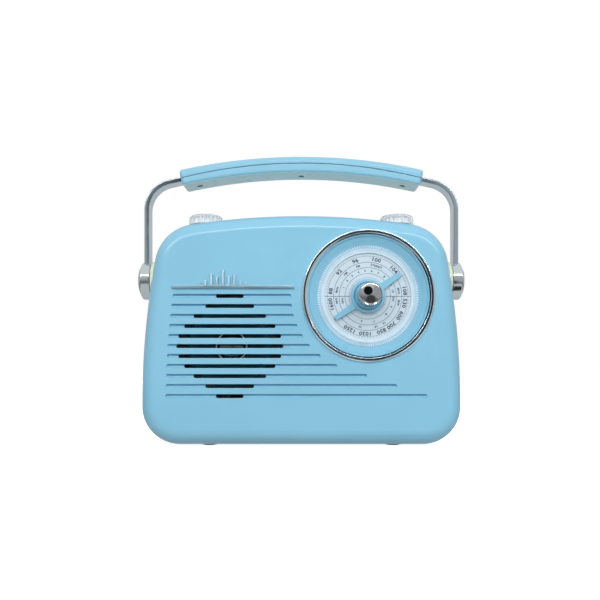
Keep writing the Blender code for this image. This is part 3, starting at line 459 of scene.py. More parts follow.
BLUE = colour(130, 189, 215)
MATERIALS = {
    "blue": plastic("blue_moulding", BLUE, 0.46, coat=0.6),
    # A darker blue, painted on as the shade under the upper lips of the grooves and slots.
    "groove_painted_shade": plastic("groove_painted_shade_material", colour(84, 146, 180), 0.5),
    "dish": plastic("dish_moulding", BLUE, 0.3, wear=0.15),
    "pointer": plastic("pointer_moulding", BLUE, 0.3, wear=0.15),
    # The grip's own blue, made a little lighter than the case's to paint in the sky's sheen on its top.
    "grip_blue_with_painted_sheen": plastic("grip_moulding_with_painted_sheen", colour(136, 190, 214), 0.38, grain=0.2),
    # A pale green-white, painted on as bounce light on the grip's underside.
    "grip_painted_bounce_light": plastic("grip_underside_painted_bounce_material", colour(222, 250, 246), 0.3, grain=0.25),
    "cream": plastic("cream_moulding", colour(224, 232, 205), 0.36),
    "collar": plastic("collar_moulding", colour(205, 214, 214), 0.3),
    "chrome": plated("bright_plating", (0.5, 0.56, 0.58, 1), 0.09),
    # The ring's plating is tinted blue, painting in the case's blue as it is reflected in the ring's outer
    # ridge.
    "ring": plated("ring_plating_with_painted_blue", (0.72, 0.84, 0.9, 1), 0.045),
    # Near-black, painted in as the dark reflection in the dial ring's channel.
    "ring_dark_reflection": matte("ring_channel_painted_dark_reflection", colour(4, 14, 24), 0.3, 900, 0.05, 0.00002),
    "mirror": plated("mirror_plating", (0.47, 0.5, 0.51, 1), 0.03),
    "arm": plated("arm_plating", (0.5, 0.59, 0.64, 1), 0.12),
    "badge": plated("badge_plating", (0.32, 0.5, 0.6, 1), 0.42),
    "screw_dark": plated("screw_plating", (0.2, 0.24, 0.26, 1), 0.35),
    "steel": plated("plain_steel", (0.42, 0.43, 0.44, 1), 0.3, (0.2, 1, 1)),
    "knob_clear": clear_plastic("knob_clear_moulding", colour(214, 220, 224), 0.16),
    "scale_clear": faded_ring("scale_clear_moulding", colour(200, 222, 232), colour(138, 186, 212), 0.24),
    "print_plate": matte("dial_card", colour(191, 209, 220), 0.5, 1500, 0.05, 0.00002, cloudy=0.03),
    # Pale, painted in as highlights on the ribbed teeth of the scale ring.
    "rib_highlight_painted": matte("dial_rib_painted_highlight_material", colour(190, 211, 228), 0.4, 1500, 0.05, 0.00002),
    "print_dark": matte("dial_ink_dark", colour(40, 54, 80), 0.55, 1500, 0.05, 0.00002),
    "black": matte("black_moulding", colour(12, 30, 38), 0.5),
    "rubber": matte("foot_rubber", colour(30, 30, 32), 0.82, 500, 0.4, 0.0002),
    "cone": matte("cone_paper", colour(2, 46, 60), 0.9, 260, 0.6, 0.0003),
    "cap_gloss": plated("dust_cap_gloss", (0.1, 0.12, 0.13, 1), 0.07),
    "magnet": matte("magnet_steel", colour(96, 98, 102), 0.4, 700, 0.2, 0.0001, 0.8),
    "board": matte("board_phenolic", colour(150, 110, 60), 0.55, 500, 0.3, 0.0001),
    "ferrite": matte("ferrite_grey", colour(52, 50, 54), 0.7, 800, 0.4, 0.0002),
    "copper": plated("winding_copper", (0.6, 0.26, 0.12, 1), 0.28, (12, 1, 1)),
    "sleeve": plastic("cell_sleeve", colour(40, 52, 84), 0.35),
}


# --- Stage -------------------------------------------------------------------------------------

VIEW_DISTANCE = 490.0
VIEW_HEIGHT = 63.0
VIEW_LENS = 39.82
VIEW_SHIFT = (-0.0022, 0.101)
# What the plating mirrors: a direction, an angular radius in degrees and a grey.
PATCHES = (
    ((0.0, 1.0, -0.1), 50.0, 0.66),
    ((0.6, -0.76, 0.2), 24.0, 0.56),
    ((0.1, -0.93, -0.2), 13.0, 0.09),
    ((0.3, -0.6, -0.74), 15.0, 0.03),
    ((-0.02, -0.97, 0.235), 12.5, 0.012),
)
# Grey of the studio by height: the pale table below, a dimmer band past its edge, then walls.
ROOM = (
    (-1.0, 0.8),
    (-0.42, 0.8),
    (-0.34, 0.62),
    (-0.27, 0.24),
    (-0.1, 0.28),
    (0.0, 0.4),
    (0.06, 0.55),
    (0.3, 0.72),
    (0.55, 1.0),
    (1.0, 1.05),
)
# How much of the studio's light reaches dull surfaces; its mirror image keeps the whole.
SOFT_SHARE = 0.5
PATCH_EDGE = 0.003
FLOOR_HALF_SIZE = 4.0
FLOOR_GLOW = 0.76
# Softboxes: name, place, aim, size, watts and whether the plating mirrors them.
LAMPS = (
    ("key_softbox", (0.1, -0.92, 0.78), (0, 0, 0.12), (2.8, 0.06), 9.0, True),
    ("fill_softbox", (0.1, -1.6, 0.32), (0.1, 0, 0.32), (2.2, 0.9), 17.6, False),
    ("back_softbox", (-0.1, 1.6, 0.3), (-0.1, 0, 0.3), (2.2, 0.9), 11.0, False),
)


def make_world():
    """A pale studio that grows brighter overhead, with round patches for the plating to mirror."""
    studio = bpy.data.worlds.new("studio")
    studio.use_nodes = True
    tree = studio.node_tree
    tree.nodes.clear()
    link = tree.links.new
    direction = tree.nodes.new("ShaderNodeTexCoord").outputs["Generated"]

    def along(axis, low, high):
        dot = tree.nodes.new("ShaderNodeVectorMath")
        dot.operation = "DOT_PRODUCT"
        link(direction, dot.inputs[0])
        dot.inputs[1].default_value = axis
        node = tree.nodes.new("ShaderNodeMapRange")
        node.inputs["From Min"].default_value = low
        node.inputs["From Max"].default_value = high
        link(dot.outputs["Value"], node.inputs["Value"])
        return node.outputs["Result"]

    height = tree.nodes.new("ShaderNodeValToRGB")
    height.color_ramp.interpolation = "EASE"
    elements = height.color_ramp.elements
    while len(elements) < len(ROOM):
        elements.new(0.5)
    for element, (level, grey) in zip(elements, ROOM):
        element.position = (level + 1) / 2
        element.color = (grey, grey * 1.005, grey * 1.01, 1)
    link(along((0, 0, 1), -1, 1), height.inputs["Fac"])
    view = height.outputs["Color"]
    for axis, radius, grey in PATCHES:
        edge = math.cos(math.radians(radius))
        mixed = tree.nodes.new("ShaderNodeMix")
        mixed.data_type = "RGBA"
        link(along(Vector(axis).normalized(), edge - PATCH_EDGE, edge + PATCH_EDGE), mixed.inputs[0])
        link(view, mixed.inputs[6])
        mixed.inputs[7].default_value = (grey, grey * 1.03, grey * 1.06, 1)
        view = mixed.outputs[2]
    lit = tree.nodes.new("ShaderNodeBackground")
    link(view, lit.inputs["Color"])
    path = tree.nodes.new("ShaderNodeLightPath")
    share = tree.nodes.new("ShaderNodeMapRange")
    share.inputs["To Min"].default_value = 1.0
    share.inputs["To Max"].default_value = SOFT_SHARE
    link(path.outputs["Is Diffuse Ray"], share.inputs["Value"])
    link(share.outputs["Result"], lit.inputs["Strength"])
    plain = tree.nodes.new("ShaderNodeBackground")
    plain.inputs["Color"].default_value = (1, 1, 1, 1)
    chosen = tree.nodes.new("ShaderNodeMixShader")
    link(path.outputs["Is Camera Ray"], chosen.inputs[0])
    link(lit.outputs[0], chosen.inputs[1])
    link(plain.outputs[0], chosen.inputs[2])
    output = tree.nodes.new("ShaderNodeOutputWorld")
    link(chosen.outputs[0], output.inputs["Surface"])
    bpy.context.scene.world = studio


def make_floor():
    mesh = bpy.data.meshes.new("studio_floor")
    half = FLOOR_HALF_SIZE
    corners = [(-half, -half, 0), (half, -half, 0), (half, half, 0), (-half, half, 0)]
    mesh.from_pydata(corners, [], [(0, 1, 2, 3)])
    floor = bpy.data.objects.new("studio_floor", mesh)
    bpy.context.scene.collection.objects.link(floor)
    floor.visible_diffuse = False
    floor.visible_glossy = False
    paint = Nodes("studio_paint")
    paint.set(Base_Color=(0.8, 0.81, 0.82, 1), Roughness=0.7, Specular_IOR_Level=0.0)
    paint.set(Emission_Color=(1, 1, 1, 1), Emission_Strength=FLOOR_GLOW)
    mesh.materials.append(paint.material)


def make_lamp(name, place, aim, size, watts, mirrored):
    lamp = bpy.data.lights.new(name, "AREA")
    lamp.shape = "RECTANGLE"
    lamp.size, lamp.size_y = size
    lamp.energy = watts
    holder = bpy.data.objects.new(name, lamp)
    bpy.context.scene.collection.objects.link(holder)
    holder.location = place
    holder.rotation_mode = "QUATERNION"
    holder.rotation_quaternion = (Vector(aim) - Vector(place)).to_track_quat("-Z", "Y")
    holder.visible_glossy = mirrored


def make_stage():
    make_world()
    make_floor()
    for lamp in LAMPS:
        make_lamp(*lamp)
    camera = bpy.data.cameras.new("studio_camera")
    camera.sensor_width = 36.0
    camera.lens = VIEW_LENS
    camera.shift_x, camera.shift_y = VIEW_SHIFT
    camera.clip_start = 0.01
    holder = bpy.data.objects.new("studio_camera", camera)
    bpy.context.scene.collection.objects.link(holder)
    holder.location = world(0, -VIEW_DISTANCE, VIEW_HEIGHT)
    holder.rotation_euler = (math.radians(90), 0, 0)
    bpy.context.scene.camera = holder
    bpy.context.scene.view_settings.view_transform = "Standard"


# --- Case --------------------------------------------------------------------------------------

ROWS = 11
ROW_PITCH = 7.4
TOP_ROW_HEIGHT = 110.7
GROOVE_WIDTH = 3.0
GROOVE_MARGIN = 19.5
GROOVE_CLEAR_RADIUS = 57.0
LONG_GROOVE_END = 48.7
LONG_GROOVE_STEP = 22.25
SLOT_HALF_LENGTH = 39.7
SLOT_SHORTEST = 10.3
SLOT_TAPER_DEG = 15.7
# Faces of the rows, between these depths, that look down more than this take a painted shade: a darker blue
# standing in for the shadow under each groove's and slot's upper lip.
SHADE_DEPTHS = (0.12, 1.75)
CEILING_SLOPE = -0.4
# How a groove's wall runs: depth behind the face, and how much wider than its nominal width.
GROOVE_WALL = (
    (1.7, -1.35),
    (1.64, -1.1),
    (1.45, -0.9),
    (0.55, -0.34),
    (0.22, -0.1),
    (0.06, 0.08),
    (-0.02, 0.26),
    (-0.4, 0.9),
)
SLOT_WALL = ((WALL + 1.0, -0.06), (0.14, -0.06))
DIAL_HOLE_RADIUS = 45.7
KNOB_HOLE_RADIUS = 10.7
SCREW_WELL_RADIUS = 4.3
ANTENNA_HOLE_RADIUS = 2.5
STEP_FLOOR = 154.0
STEP_DEPTH = 67.0
STEP_CORNER = 2.0
SOUND_SLOTS = 9
SOUND_SLOT_X = 28.0
SOUND_SLOT_PITCH = 6.5
SOUND_SLOT_RADIUS = 1.3
SOUND_LOW = 62.0
SOUND_HIGH = 122.0
COVER_SCREWS = ("lower_left", "lower_right", "upper_left", "upper_right")
JACK_HOLES = (("headphone_jack", 3.3), ("power_jack", 4.3))
SIDE_CENTRE = (CASE_HALF_WIDTH - SIDE_RADIUS, WIDEST_HEIGHT)
TOP_CENTRE = (0.0, CASE_HEIGHT - TOP_RADIUS)
SPEAKER_X, _, SPEAKER_HEIGHT = centre_of("speaker_basket")
BOSS_LOW, BOSS_HIGH = corners_of("handle_boss_right")
BOSS_RADIUS = (BOSS_HIGH[2] - BOSS_LOW[2]) / 2
KNOB_X = centre_of("volume_knob")[0]
PIVOT_HEIGHT = centre_of("pivot_cap_left")[2]


def bearing(start, end):
    return math.degrees(math.atan2(end[1] - start[1], end[0] - start[0]))


def meeting(first, first_radius, second, second_radius):
    dx = second[0] - first[0]
    dy = second[1] - first[1]
    apart = math.hypot(dx, dy)
    along = (first_radius**2 - second_radius**2 + apart**2) / (2 * apart)
    aside = math.sqrt(first_radius**2 - along**2)
    foot = (first[0] + along * dx / apart, first[1] + along * dy / apart)
    return (foot[0] - aside * dy / apart, foot[1] + aside * dx / apart)


def case_outline(inset=0.0):
    """The case seen from the front, moved inwards by inset."""
    reach = math.sqrt((SIDE_RADIUS - LOWER_CORNER) ** 2 - (LOWER_CORNER - WIDEST_HEIGHT) ** 2)
    lower = (SIDE_CENTRE[0] + reach, LOWER_CORNER)
    upper = meeting(SIDE_CENTRE, SIDE_RADIUS - UPPER_CORNER, TOP_CENTRE, TOP_RADIUS - UPPER_CORNER)
    side_start = bearing(SIDE_CENTRE, lower)
    side_end = bearing(SIDE_CENTRE, upper)
    top_start = bearing(TOP_CENTRE, upper)
    half = arc(lower, LOWER_CORNER - inset, -90, side_start, 20)
    half += arc(SIDE_CENTRE, SIDE_RADIUS - inset, side_start, side_end, 16)[1:]
    half += arc(upper, UPPER_CORNER - inset, side_end, top_start, 20)[1:]
    half += arc(TOP_CENTRE, TOP_RADIUS - inset, top_start, 90, 16)[1:]
    return half + [(-x, height) for x, height in reversed(half[:-1])]


def case_ring(inset, depth):
    return [(x, depth, height) for x, height in case_outline(inset)]


def fillet_rings(radius, wall, face, steps, inwards):
    rings = []
    inner = radius - wall
    for i in range(steps + 1):
        turn = math.radians(90 * i / steps)
        inset = wall + inner * (1 - math.sin(turn))
        rings.append(case_ring(inset, face + inwards * (wall + inner * (1 - math.cos(turn)))))
    return rings


def stadium(left, right, height, width, steps=9):
    radius = width / 2
    right_end = arc((right - radius, height), radius, -90, 90, steps)
    return right_end + arc((left + radius, height), radius, 90, 270, steps)


def row_height(row):
    return TOP_ROW_HEIGHT - ROW_PITCH * row


def groove_ends(row):
    rise = row_height(row) - WIDEST_HEIGHT
    left = GROOVE_MARGIN - SIDE_CENTRE[0] - math.sqrt(SIDE_RADIUS**2 - rise**2)
    drop = DIAL_HEIGHT - row_height(row)
    if drop < GROOVE_CLEAR_RADIUS:
        return left, DIAL_X - math.sqrt(GROOVE_CLEAR_RADIUS**2 - drop**2)
    past = row - math.ceil(GROOVE_CLEAR_RADIUS / ROW_PITCH)
    return left, LONG_GROOVE_END + LONG_GROOVE_STEP * past


def slot_ends(row):
    half = SLOT_HALF_LENGTH * math.cos(math.radians(SLOT_TAPER_DEG * abs(row - ROWS // 2)))
    half = max(half, SLOT_SHORTEST)
    return SPEAKER_X - half, SPEAKER_X + half


def rows_guide(name, ends_of, wall):
    """All rows of grooves or slots as one cutting guide."""
    bm = bmesh.new()
    for row in range(ROWS):
        left, right = ends_of(row)
        rings = []
        for depth, wider in wall:
            outline = stadium(left - wider, right + wider, row_height(row), GROOVE_WIDTH + 2 * wider)
            rings += layered(outline, [depth])
        loft_into(bm, rings)
    return guide(name, mesh_from(bm, name))


def make_front_cabinet():
    shell = lofted("front_shell", fillet_rings(FRONT_FILLET, 0, 0, 14, 1) + [case_ring(0, SEAM_DEPTH)])
    inner = fillet_rings(FRONT_FILLET, WALL, 0, 5, 1) + [case_ring(WALL, SEAM_DEPTH + 2)]
    tools = [guide("front_hollow", lofted("front_hollow", inner))]
    dial = (DIAL_X, -5, DIAL_HEIGHT)
    tools.append(pole_guide("dial_hole", DIAL_HOLE_RADIUS, dial, INWARDS, 12, 128))
    tools.append(rows_guide("grooves", groove_ends, GROOVE_WALL))
    tools.append(rows_guide("slots", slot_ends, SLOT_WALL))
    for side in (-1, 1):
        start = (side * 95, MIDDLE_DEPTH, PIVOT_HEIGHT)
        tools.append(pole_guide("boss_hole", BOSS_RADIUS + GAP, start, (side, 0, 0), 40))
        start = (side * KNOB_X, MIDDLE_DEPTH, 150)
        tools.append(pole_guide("knob_hole", KNOB_HOLE_RADIUS, start, UPWARDS, 40))
    mesh = settle(combine(shell, tools))
    new_piece("front_shell", mesh, "blue", "case", ["front_cabinet"], weighted=True)
    # Downward-facing faces inside the grooves and slots take the painted shade.
    mesh.materials.append(MATERIALS["groove_painted_shade"])
    low = world(0, SHADE_DEPTHS[0], row_height(ROWS))
    high = world(0, SHADE_DEPTHS[1], row_height(-1))
    for face in mesh.polygons:
        inside = low.y < face.center.y < high.y and low.z < face.center.z < high.z
        face.material_index = int(inside and abs(face.normal.y) < 0.9 and face.normal.z < CEILING_SLOPE)


def make_back_cover():
    back = CASE_DEPTH
    rings = fillet_rings(BACK_FILLET, 0, back, 12, -1) + [case_ring(0, SEAM_DEPTH + GAP)]
    shell = lofted("back_shell", rings)
    wide = CASE_HALF_WIDTH + 10
    beyond = back + 10
    top = CASE_HEIGHT + 10
    inner = fillet_rings(BACK_FILLET, WALL, back, 4, -1) + [case_ring(WALL, SEAM_DEPTH - 2)]
    step_low = (-wide, STEP_DEPTH - WALL, STEP_FLOOR - WALL)
    step_wall = block_guide("step_wall", step_low, (wide, beyond, top))
    hollow = combine(lofted("back_hollow", inner), [step_wall])
    corner = [(STEP_DEPTH, top), (STEP_DEPTH, STEP_FLOOR), (beyond, STEP_FLOOR)]
    corner = rounded(corner, [0, STEP_CORNER, 0], 6) + [(beyond, top)]
    step = lofted("antenna_step", [[(x, depth, z) for depth, z in corner] for x in (-wide, wide)])
    tools = [guide("antenna_step", step), guide("back_hollow", hollow)]
    door_low, door_high = corners_of("battery_door")
    half = door_high[0] + GAP
    door_low, door_high = (-half, back - 12, door_low[2] - GAP), (half, back + 5, door_high[2] + GAP)
    bm = bmesh.new()
    loft_into(bm, block_rings(door_low, door_high))
    radius = SOUND_SLOT_RADIUS
    for i in range(SOUND_SLOTS):
        middle = SOUND_SLOT_X + SOUND_SLOT_PITCH * i + radius
        ends = arc((middle, SOUND_HIGH - radius), radius, 0, 180, 8)
        ends += arc((middle, SOUND_LOW + radius), radius, 180, 360, 8)
        loft_into(bm, layered(ends, (back - 8, back + 4)))
    tools.append(guide("back_openings", mesh_from(bm, "back_openings")))
    for node, radius in JACK_HOLES:
        x, _, height = centre_of(node)
        tools.append(pole_guide("jack_hole", radius, (x, back - 8, height), INWARDS, 16, 48))
    for place in COVER_SCREWS:
        x, _, height = centre_of(f"cover_screw_{place}")
        tools.append(pole_guide("screw_well", SCREW_WELL_RADIUS, (x, back - 1.3, height), INWARDS, 8, 48))
    antenna_x, antenna_depth, _ = centre_of("antenna_swivel")
    start = (antenna_x, antenna_depth, STEP_FLOOR - 8)
    tools.append(pole_guide("antenna_hole", ANTENNA_HOLE_RADIUS, start, UPWARDS, 16, 32))
    mesh = settle(combine(shell, tools))
    new_piece("back_shell", mesh, "blue", "case", ["back_cover"], weighted=True)


# --- Dial --------------------------------------------------------------------------------------

RING_BACK = -GAP
RIBS = 132
# The pale ticks between the ribs, a painted highlight standing in for the light the ribbed teeth catch:
# their depth, and each band's inner and outer radius and tick width.
RIB_TICK_DEPTH = 4.2
RIB_TICKS = ((36.0, 37.8, 0.9), (33.9, 35.1, 0.7))
LARGE_PRINT = 3.8
SMALL_PRINT = 2.2
NUMBER_RADIUS = 27.8
SMALL_NUMBER_RADIUS = 19.1
PLATE_DEPTH = corners_of("dial_plate")[0][1]
PRINT_DEPTH = PLATE_DEPTH - 0.04
RULED_CIRCLES = ((30.0, 0.18), (25.5, 0.28), (21.4, 0.26), (17.0, 0.24), (13.9, 0.16))
FM_MARKS = ((172, "88"), (140, "92"), (109.5, "96"), (77, "100"), (46, "104"), (9, "108"))
MW_MARKS = (
    (-10.5, "530"),
    (-31, "600"),
    (-51, "700"),
    (-68.5, "850"),
    (-93.5, "1020"),
    (-118.7, "1250"),
    (-167.5, "1600"),
)
SW_MARKS = ((28, "12"), (12, "10"), (-24, "9"), (-44, "8"), (-76, "7"), (-104, "6"), (-140, "5"))
LOGGING = ((160, "1"), (143, "2"), (127, "3"), (111, "4"), (96, "5"), (81, "6"), (66, "7"), (50, "8"))
WORDS = (
    (168, 23.4, "MHz"),
    (-172, 23.4, "MW"),
    (134, 23.4, "FM"),
    (108, 23.4, "FM"),
    (74, 23.4, "STEREO"),
    (10, 23.4, "MHz"),
    (-12, 23.4, "MW"),
    (-6, 19.1, "SW"),
    (-58, 23.4, "16"),
    (-74, 23.4, "18"),
    (-104, 23.4, "22"),
    (-170, 19.1, "kHz"),
)


def disc_point(radius, degrees):
    turn = math.radians(degrees)
    return DIAL_X + radius * math.cos(turn), DIAL_HEIGHT + radius * math.sin(turn)


def make_dial_ring():
    """A narrow inner ridge, a channel with a black strip laid in it as a painted dark reflection, and a
    broad outer ridge with a sloping flank.
    """
    profile = [(45.2, RING_BACK), (45.2, -0.3), (46.2, -0.4), (46.35, -1.1), (46.55, -1.36)]
    profile += [(46.85, -1.4), (47.05, -1.2), (47.1, -0.8), (47.8, -0.8), (47.85, -1.3)]
    profile += [(48.05, -1.66), (48.35, -1.86), (48.65, -1.8), (48.95, -1.5), (49.1, -1.1)]
    profile += [(49.2, -0.7), (49.2, RING_BACK)]
    turned_piece(
        "dial_ring_fine", profile, DIAL_CENTRE, INWARDS, 256,
        "ring", "case", ["dial_ring"], sharp=40,
    )
    # A black strip in the channel, painted in as the dark reflection the plating shows there.
    line = [(47.0, -0.75), (47.05, -1.12), (47.88, -1.2), (47.9, -0.75)]
    turned_piece("dial_ring_painted_reflection", line, DIAL_CENTRE, INWARDS, 256, "ring_dark_reflection", "case", [])


def make_dish():
    """The dish's sloping wall, with turned steps towards its floor."""
    profile = [(45.4, 0), (45.4, 2), (40.4, 5.6), (38, 5.6), (38.0, 4.35), (38.3, 4.25)]
    for radius, depth in ((38.6, 4.2), (39.6, 3.6), (40.6, 3.0), (41.6, 2.4), (42.6, 1.85)):
        profile += [(radius, depth), (radius + 0.75, depth - 0.08), (radius + 0.87, depth - 0.2)]
        profile.append((radius + 0.95, depth - 0.45))
    profile += [(43.9, 0.85), (44.4, 0.3), (44.7, 0.0)]
    turned_piece(
        "dial_dish_fine", profile, DIAL_CENTRE, INWARDS, 192,
        "dish", "case", ["dial_dish"], sharp=28,
    )


def make_scale_ring():
    """The clear ring round the printed plate, ribbed all the way round."""
    front = 4.6
    back = 5.6
    rib = 0.34
    profile = (
        (32.4, back, 0.0),
        (32.4, front, 0.0),
        (33.8, front - 0.02, 0.0),
        (34.0, front - 0.02, rib),
        (35.2, front - 0.02, rib),
        (35.4, front, 0.0),
        (36.4, front, 0.0),
        (36.6, front - 0.02, rib),
        (37.7, front - 0.02, rib),
        (37.9, front - 0.1, 0.0),
        (37.9, back, 0.0),
    )
    turns = [math.tau * i / (RIBS * 6) for i in range(RIBS * 6)]
    rings = []
    for radius, depth, rise in profile:
        ring = []
        for turn in turns:
            x, height = DIAL_X + radius * math.cos(turn), DIAL_HEIGHT + radius * math.sin(turn)
            ring.append((x, depth - rise * (0.5 + 0.5 * math.cos(turn * RIBS)), height))
        rings.append(ring)
    bm = bmesh.new()
    loft_into(bm, rings + [rings[0]], capped=False)
    mesh = mesh_from(bm, "scale_ring_ribbed", 40)
    new_piece("scale_ring_ribbed", mesh, "scale_clear", "case", ["dial_scale_ring"])


def make_plate():
    back = PLATE_DEPTH + 1.3
    profile = [(4.0, PLATE_DEPTH), (39.6, PLATE_DEPTH), (40.0, PLATE_DEPTH + 0.3)]
    profile += [(40.0, back), (4.0, back)]
    turned_piece(
        "dial_card", profile, DIAL_CENTRE, INWARDS, 160, "print_plate", "case", ["dial_plate"]
    )


def lettering(text, size, radius, degrees, stretch):
    """Flat letters on the dial, their tops outwards, as a mesh."""
    curve = bpy.data.curves.new("letters", "FONT")
    curve.body = text
    curve.size = size * MM
    curve.align_x = curve.align_y = "CENTER"
    curve.offset = 0.03 * size * MM
    curve.space_character = 1.08
    curve.resolution_u = 3
    holder = guide("letters", curve)
    depsgraph = bpy.context.evaluated_depsgraph_get()
    flat = bpy.data.meshes.new_from_object(holder.evaluated_get(depsgraph))
    bpy.data.objects.remove(holder, do_unlink=True)
    x, height = disc_point(radius, degrees)
    stand = Matrix.Translation(world(x, PRINT_DEPTH, height))
    stand @= Matrix.Rotation(math.radians(90), 4, "X")
    stand @= Matrix.Rotation(math.radians(degrees - 90), 4, "Z")
    stand @= Matrix.Scale(stretch, 4, (1, 0, 0))
    flat.transform(stand)
    return flat


def ruled_circle(bm, radius, width, steps=180):
    rings = []
    for i in range(steps + 1):
        rings.append([disc_point(radius + side * width / 2, 360 * i / steps) for side in (-1, 1)])
    for near, far in zip(rings, rings[1:]):
        corners = (*near, *reversed(far))
        bm.faces.new([bm.verts.new(world(x, PRINT_DEPTH, z)) for x, z in corners])


def facing_front(bm, name, finish):
    """Turn flat printing to the front and make it a piece."""
    bmesh.ops.recalc_face_normals(bm, faces=bm.faces)
    for face in bm.faces:
        if face.normal.y > 0:
            face.normal_flip()
    mesh = bpy.data.meshes.new(name)
    bm.to_mesh(mesh)
    bm.free()
    new_piece(name, mesh, finish, "case", [])


def ruled_tick(bm, degrees, inner, outer, width, depth=PRINT_DEPTH):
    turn = math.radians(degrees)
    corners = []
    for radius, side in ((inner, -1), (outer, -1), (outer, 1), (inner, 1)):
        x, height = disc_point(radius, degrees)
        aside = side * width / 2
        place = world(x - math.sin(turn) * aside, depth, height + math.cos(turn) * aside)
        corners.append(bm.verts.new(place))
    bm.faces.new(corners)


def make_print():
    """Ruled circles, scale ticks, numbers and band names on the dial plate."""
    bm = bmesh.new()
    for radius, width in RULED_CIRCLES:
        ruled_circle(bm, radius, width)
    for side in (0, 180):
        ruled_tick(bm, side, 13.4, 32.1, 0.34)
    for degrees in (*range(6, 176, 4), *range(-174, -4, 4)):
        ruled_tick(bm, degrees, 30.2, 31.2 if degrees % 8 else 31.8, 0.18)
    for degrees in range(20, 176, 6):
        ruled_tick(bm, degrees, 21.6, 22.2, 0.16)
        ruled_tick(bm, -degrees, 21.6, 22.2, 0.16)
    for degrees, text in FM_MARKS + MW_MARKS:
        bm.from_mesh(lettering(text, LARGE_PRINT, NUMBER_RADIUS, degrees, 1.18))
    for degrees, text in SW_MARKS + LOGGING:
        bm.from_mesh(lettering(text, SMALL_PRINT, SMALL_NUMBER_RADIUS, degrees, 1.1))
    for degrees, radius, text in WORDS:
        bm.from_mesh(lettering(text, SMALL_PRINT, radius, degrees, 1.1))
    facing_front(bm, "dial_print_lines", "print_dark")
    # Pale ticks between the ribs, painted in as the light the ribbed teeth catch.
    bm = bmesh.new()
    for i in range(RIBS):
        degrees = 360 * (i + 0.5) / RIBS
        for inner, outer, width in RIB_TICKS:
            ruled_tick(bm, degrees, inner, outer, width, RIB_TICK_DEPTH)
    facing_front(bm, "dial_rib_painted_highlights", "rib_highlight_painted")


POINTER_DEG = 34.5
KNOB_FRONT = corners_of("tuning_knob")[0][1]
HUB_FRONT = corners_of("tuning_pointer")[0][1]


def make_pointer():
    profile = [(3.3, HUB_FRONT), (9.1, HUB_FRONT), (9.5, HUB_FRONT + 0.1), (9.72, HUB_FRONT + 0.4)]
    profile += [(9.75, HUB_FRONT + 0.9), (9.8, 4.3), (10.5, 4.3), (10.6, 2.6), (10.8, 2.35)]
    profile += [(11.9, 2.35), (12.3, 2.5), (12.6, 2.9), (12.7, 3.5), (12.7, 5.4), (3.3, 5.4)]
    hub = turned("pointer_hub", profile, DIAL_CENTRE, INWARDS, 128)
    arms = []
    for side in (0, 180):
        turn = math.radians(POINTER_DEG + side)
        along = Vector((math.cos(turn), math.sin(turn)))
        across = Vector((-along.y, along.x))
        outline = [(6.0, 3.0), (29.0, 1.75), (29.6, 1.2), (29.6, -1.2), (29.0, -1.75), (6.0, -3.0)]
        rings = []
        for depth, inset in ((5.2, 0.0), (3.3, 0.0), (3.08, 0.1), (3.0, 0.32)):
            ring = []
            for reach, wide in outline:
                wide -= math.copysign(inset, wide)
                reach -= inset if reach > 20 else 0
                spot = along * reach + across * wide
                ring.append((DIAL_X + spot.x, depth, DIAL_HEIGHT + spot.y))
            rings.append(ring)
        arms.append(guide("pointer_arm", lofted("pointer_arm", rings, 40)))
    mesh = settle(combine(hub, arms, "UNION"), 30)
    new_piece("pointer_fine", mesh, "pointer", "tuning", ["tuning_pointer"], weighted=True)


def make_tuning_knob():
    """A plated knob with a gently domed mirror face inside a rounded rim."""
    front = KNOB_FRONT
    profile = [(0, front + 0.1)]
    dome = 30.0
    for i in range(1, 13):
        radius = 7.5 * i / 12
        profile.append((radius, front + 0.1 + dome - math.sqrt(dome**2 - radius**2)))
    profile += [(7.58, front + 1.1), (7.7, front + 0.92), (7.95, front + 0.84), (8.2, front + 1.0)]
    profile += [(8.4, front + 1.4), (8.5, front + 2.2), (8.7, HUB_FRONT - 1.5), (8.7, HUB_FRONT - 0.5)]
    profile += [(8.5, HUB_FRONT - 0.3), (3.3, HUB_FRONT - 0.3), (3.3, front + 4), (0, front + 4)]
    turned_piece(
        "tuning_knob_fine", profile, DIAL_CENTRE, INWARDS, 160,
        "mirror", "tuning", ["tuning_knob"],
    )
# --- Badge, speaker and top knobs --------------------------------------------------------------

(BADGE_LEFT, BADGE_FRONT, BADGE_LOW), (BADGE_RIGHT, _, _) = corners_of("badge_bar")
BADGE_BAR = 2.7
WAVE_STROKES = 9
WAVE_LEFT = -77.0
WAVE_RIGHT = -38.6
WAVE_RISE = 11.0
WAVE_SHORT = 0.62


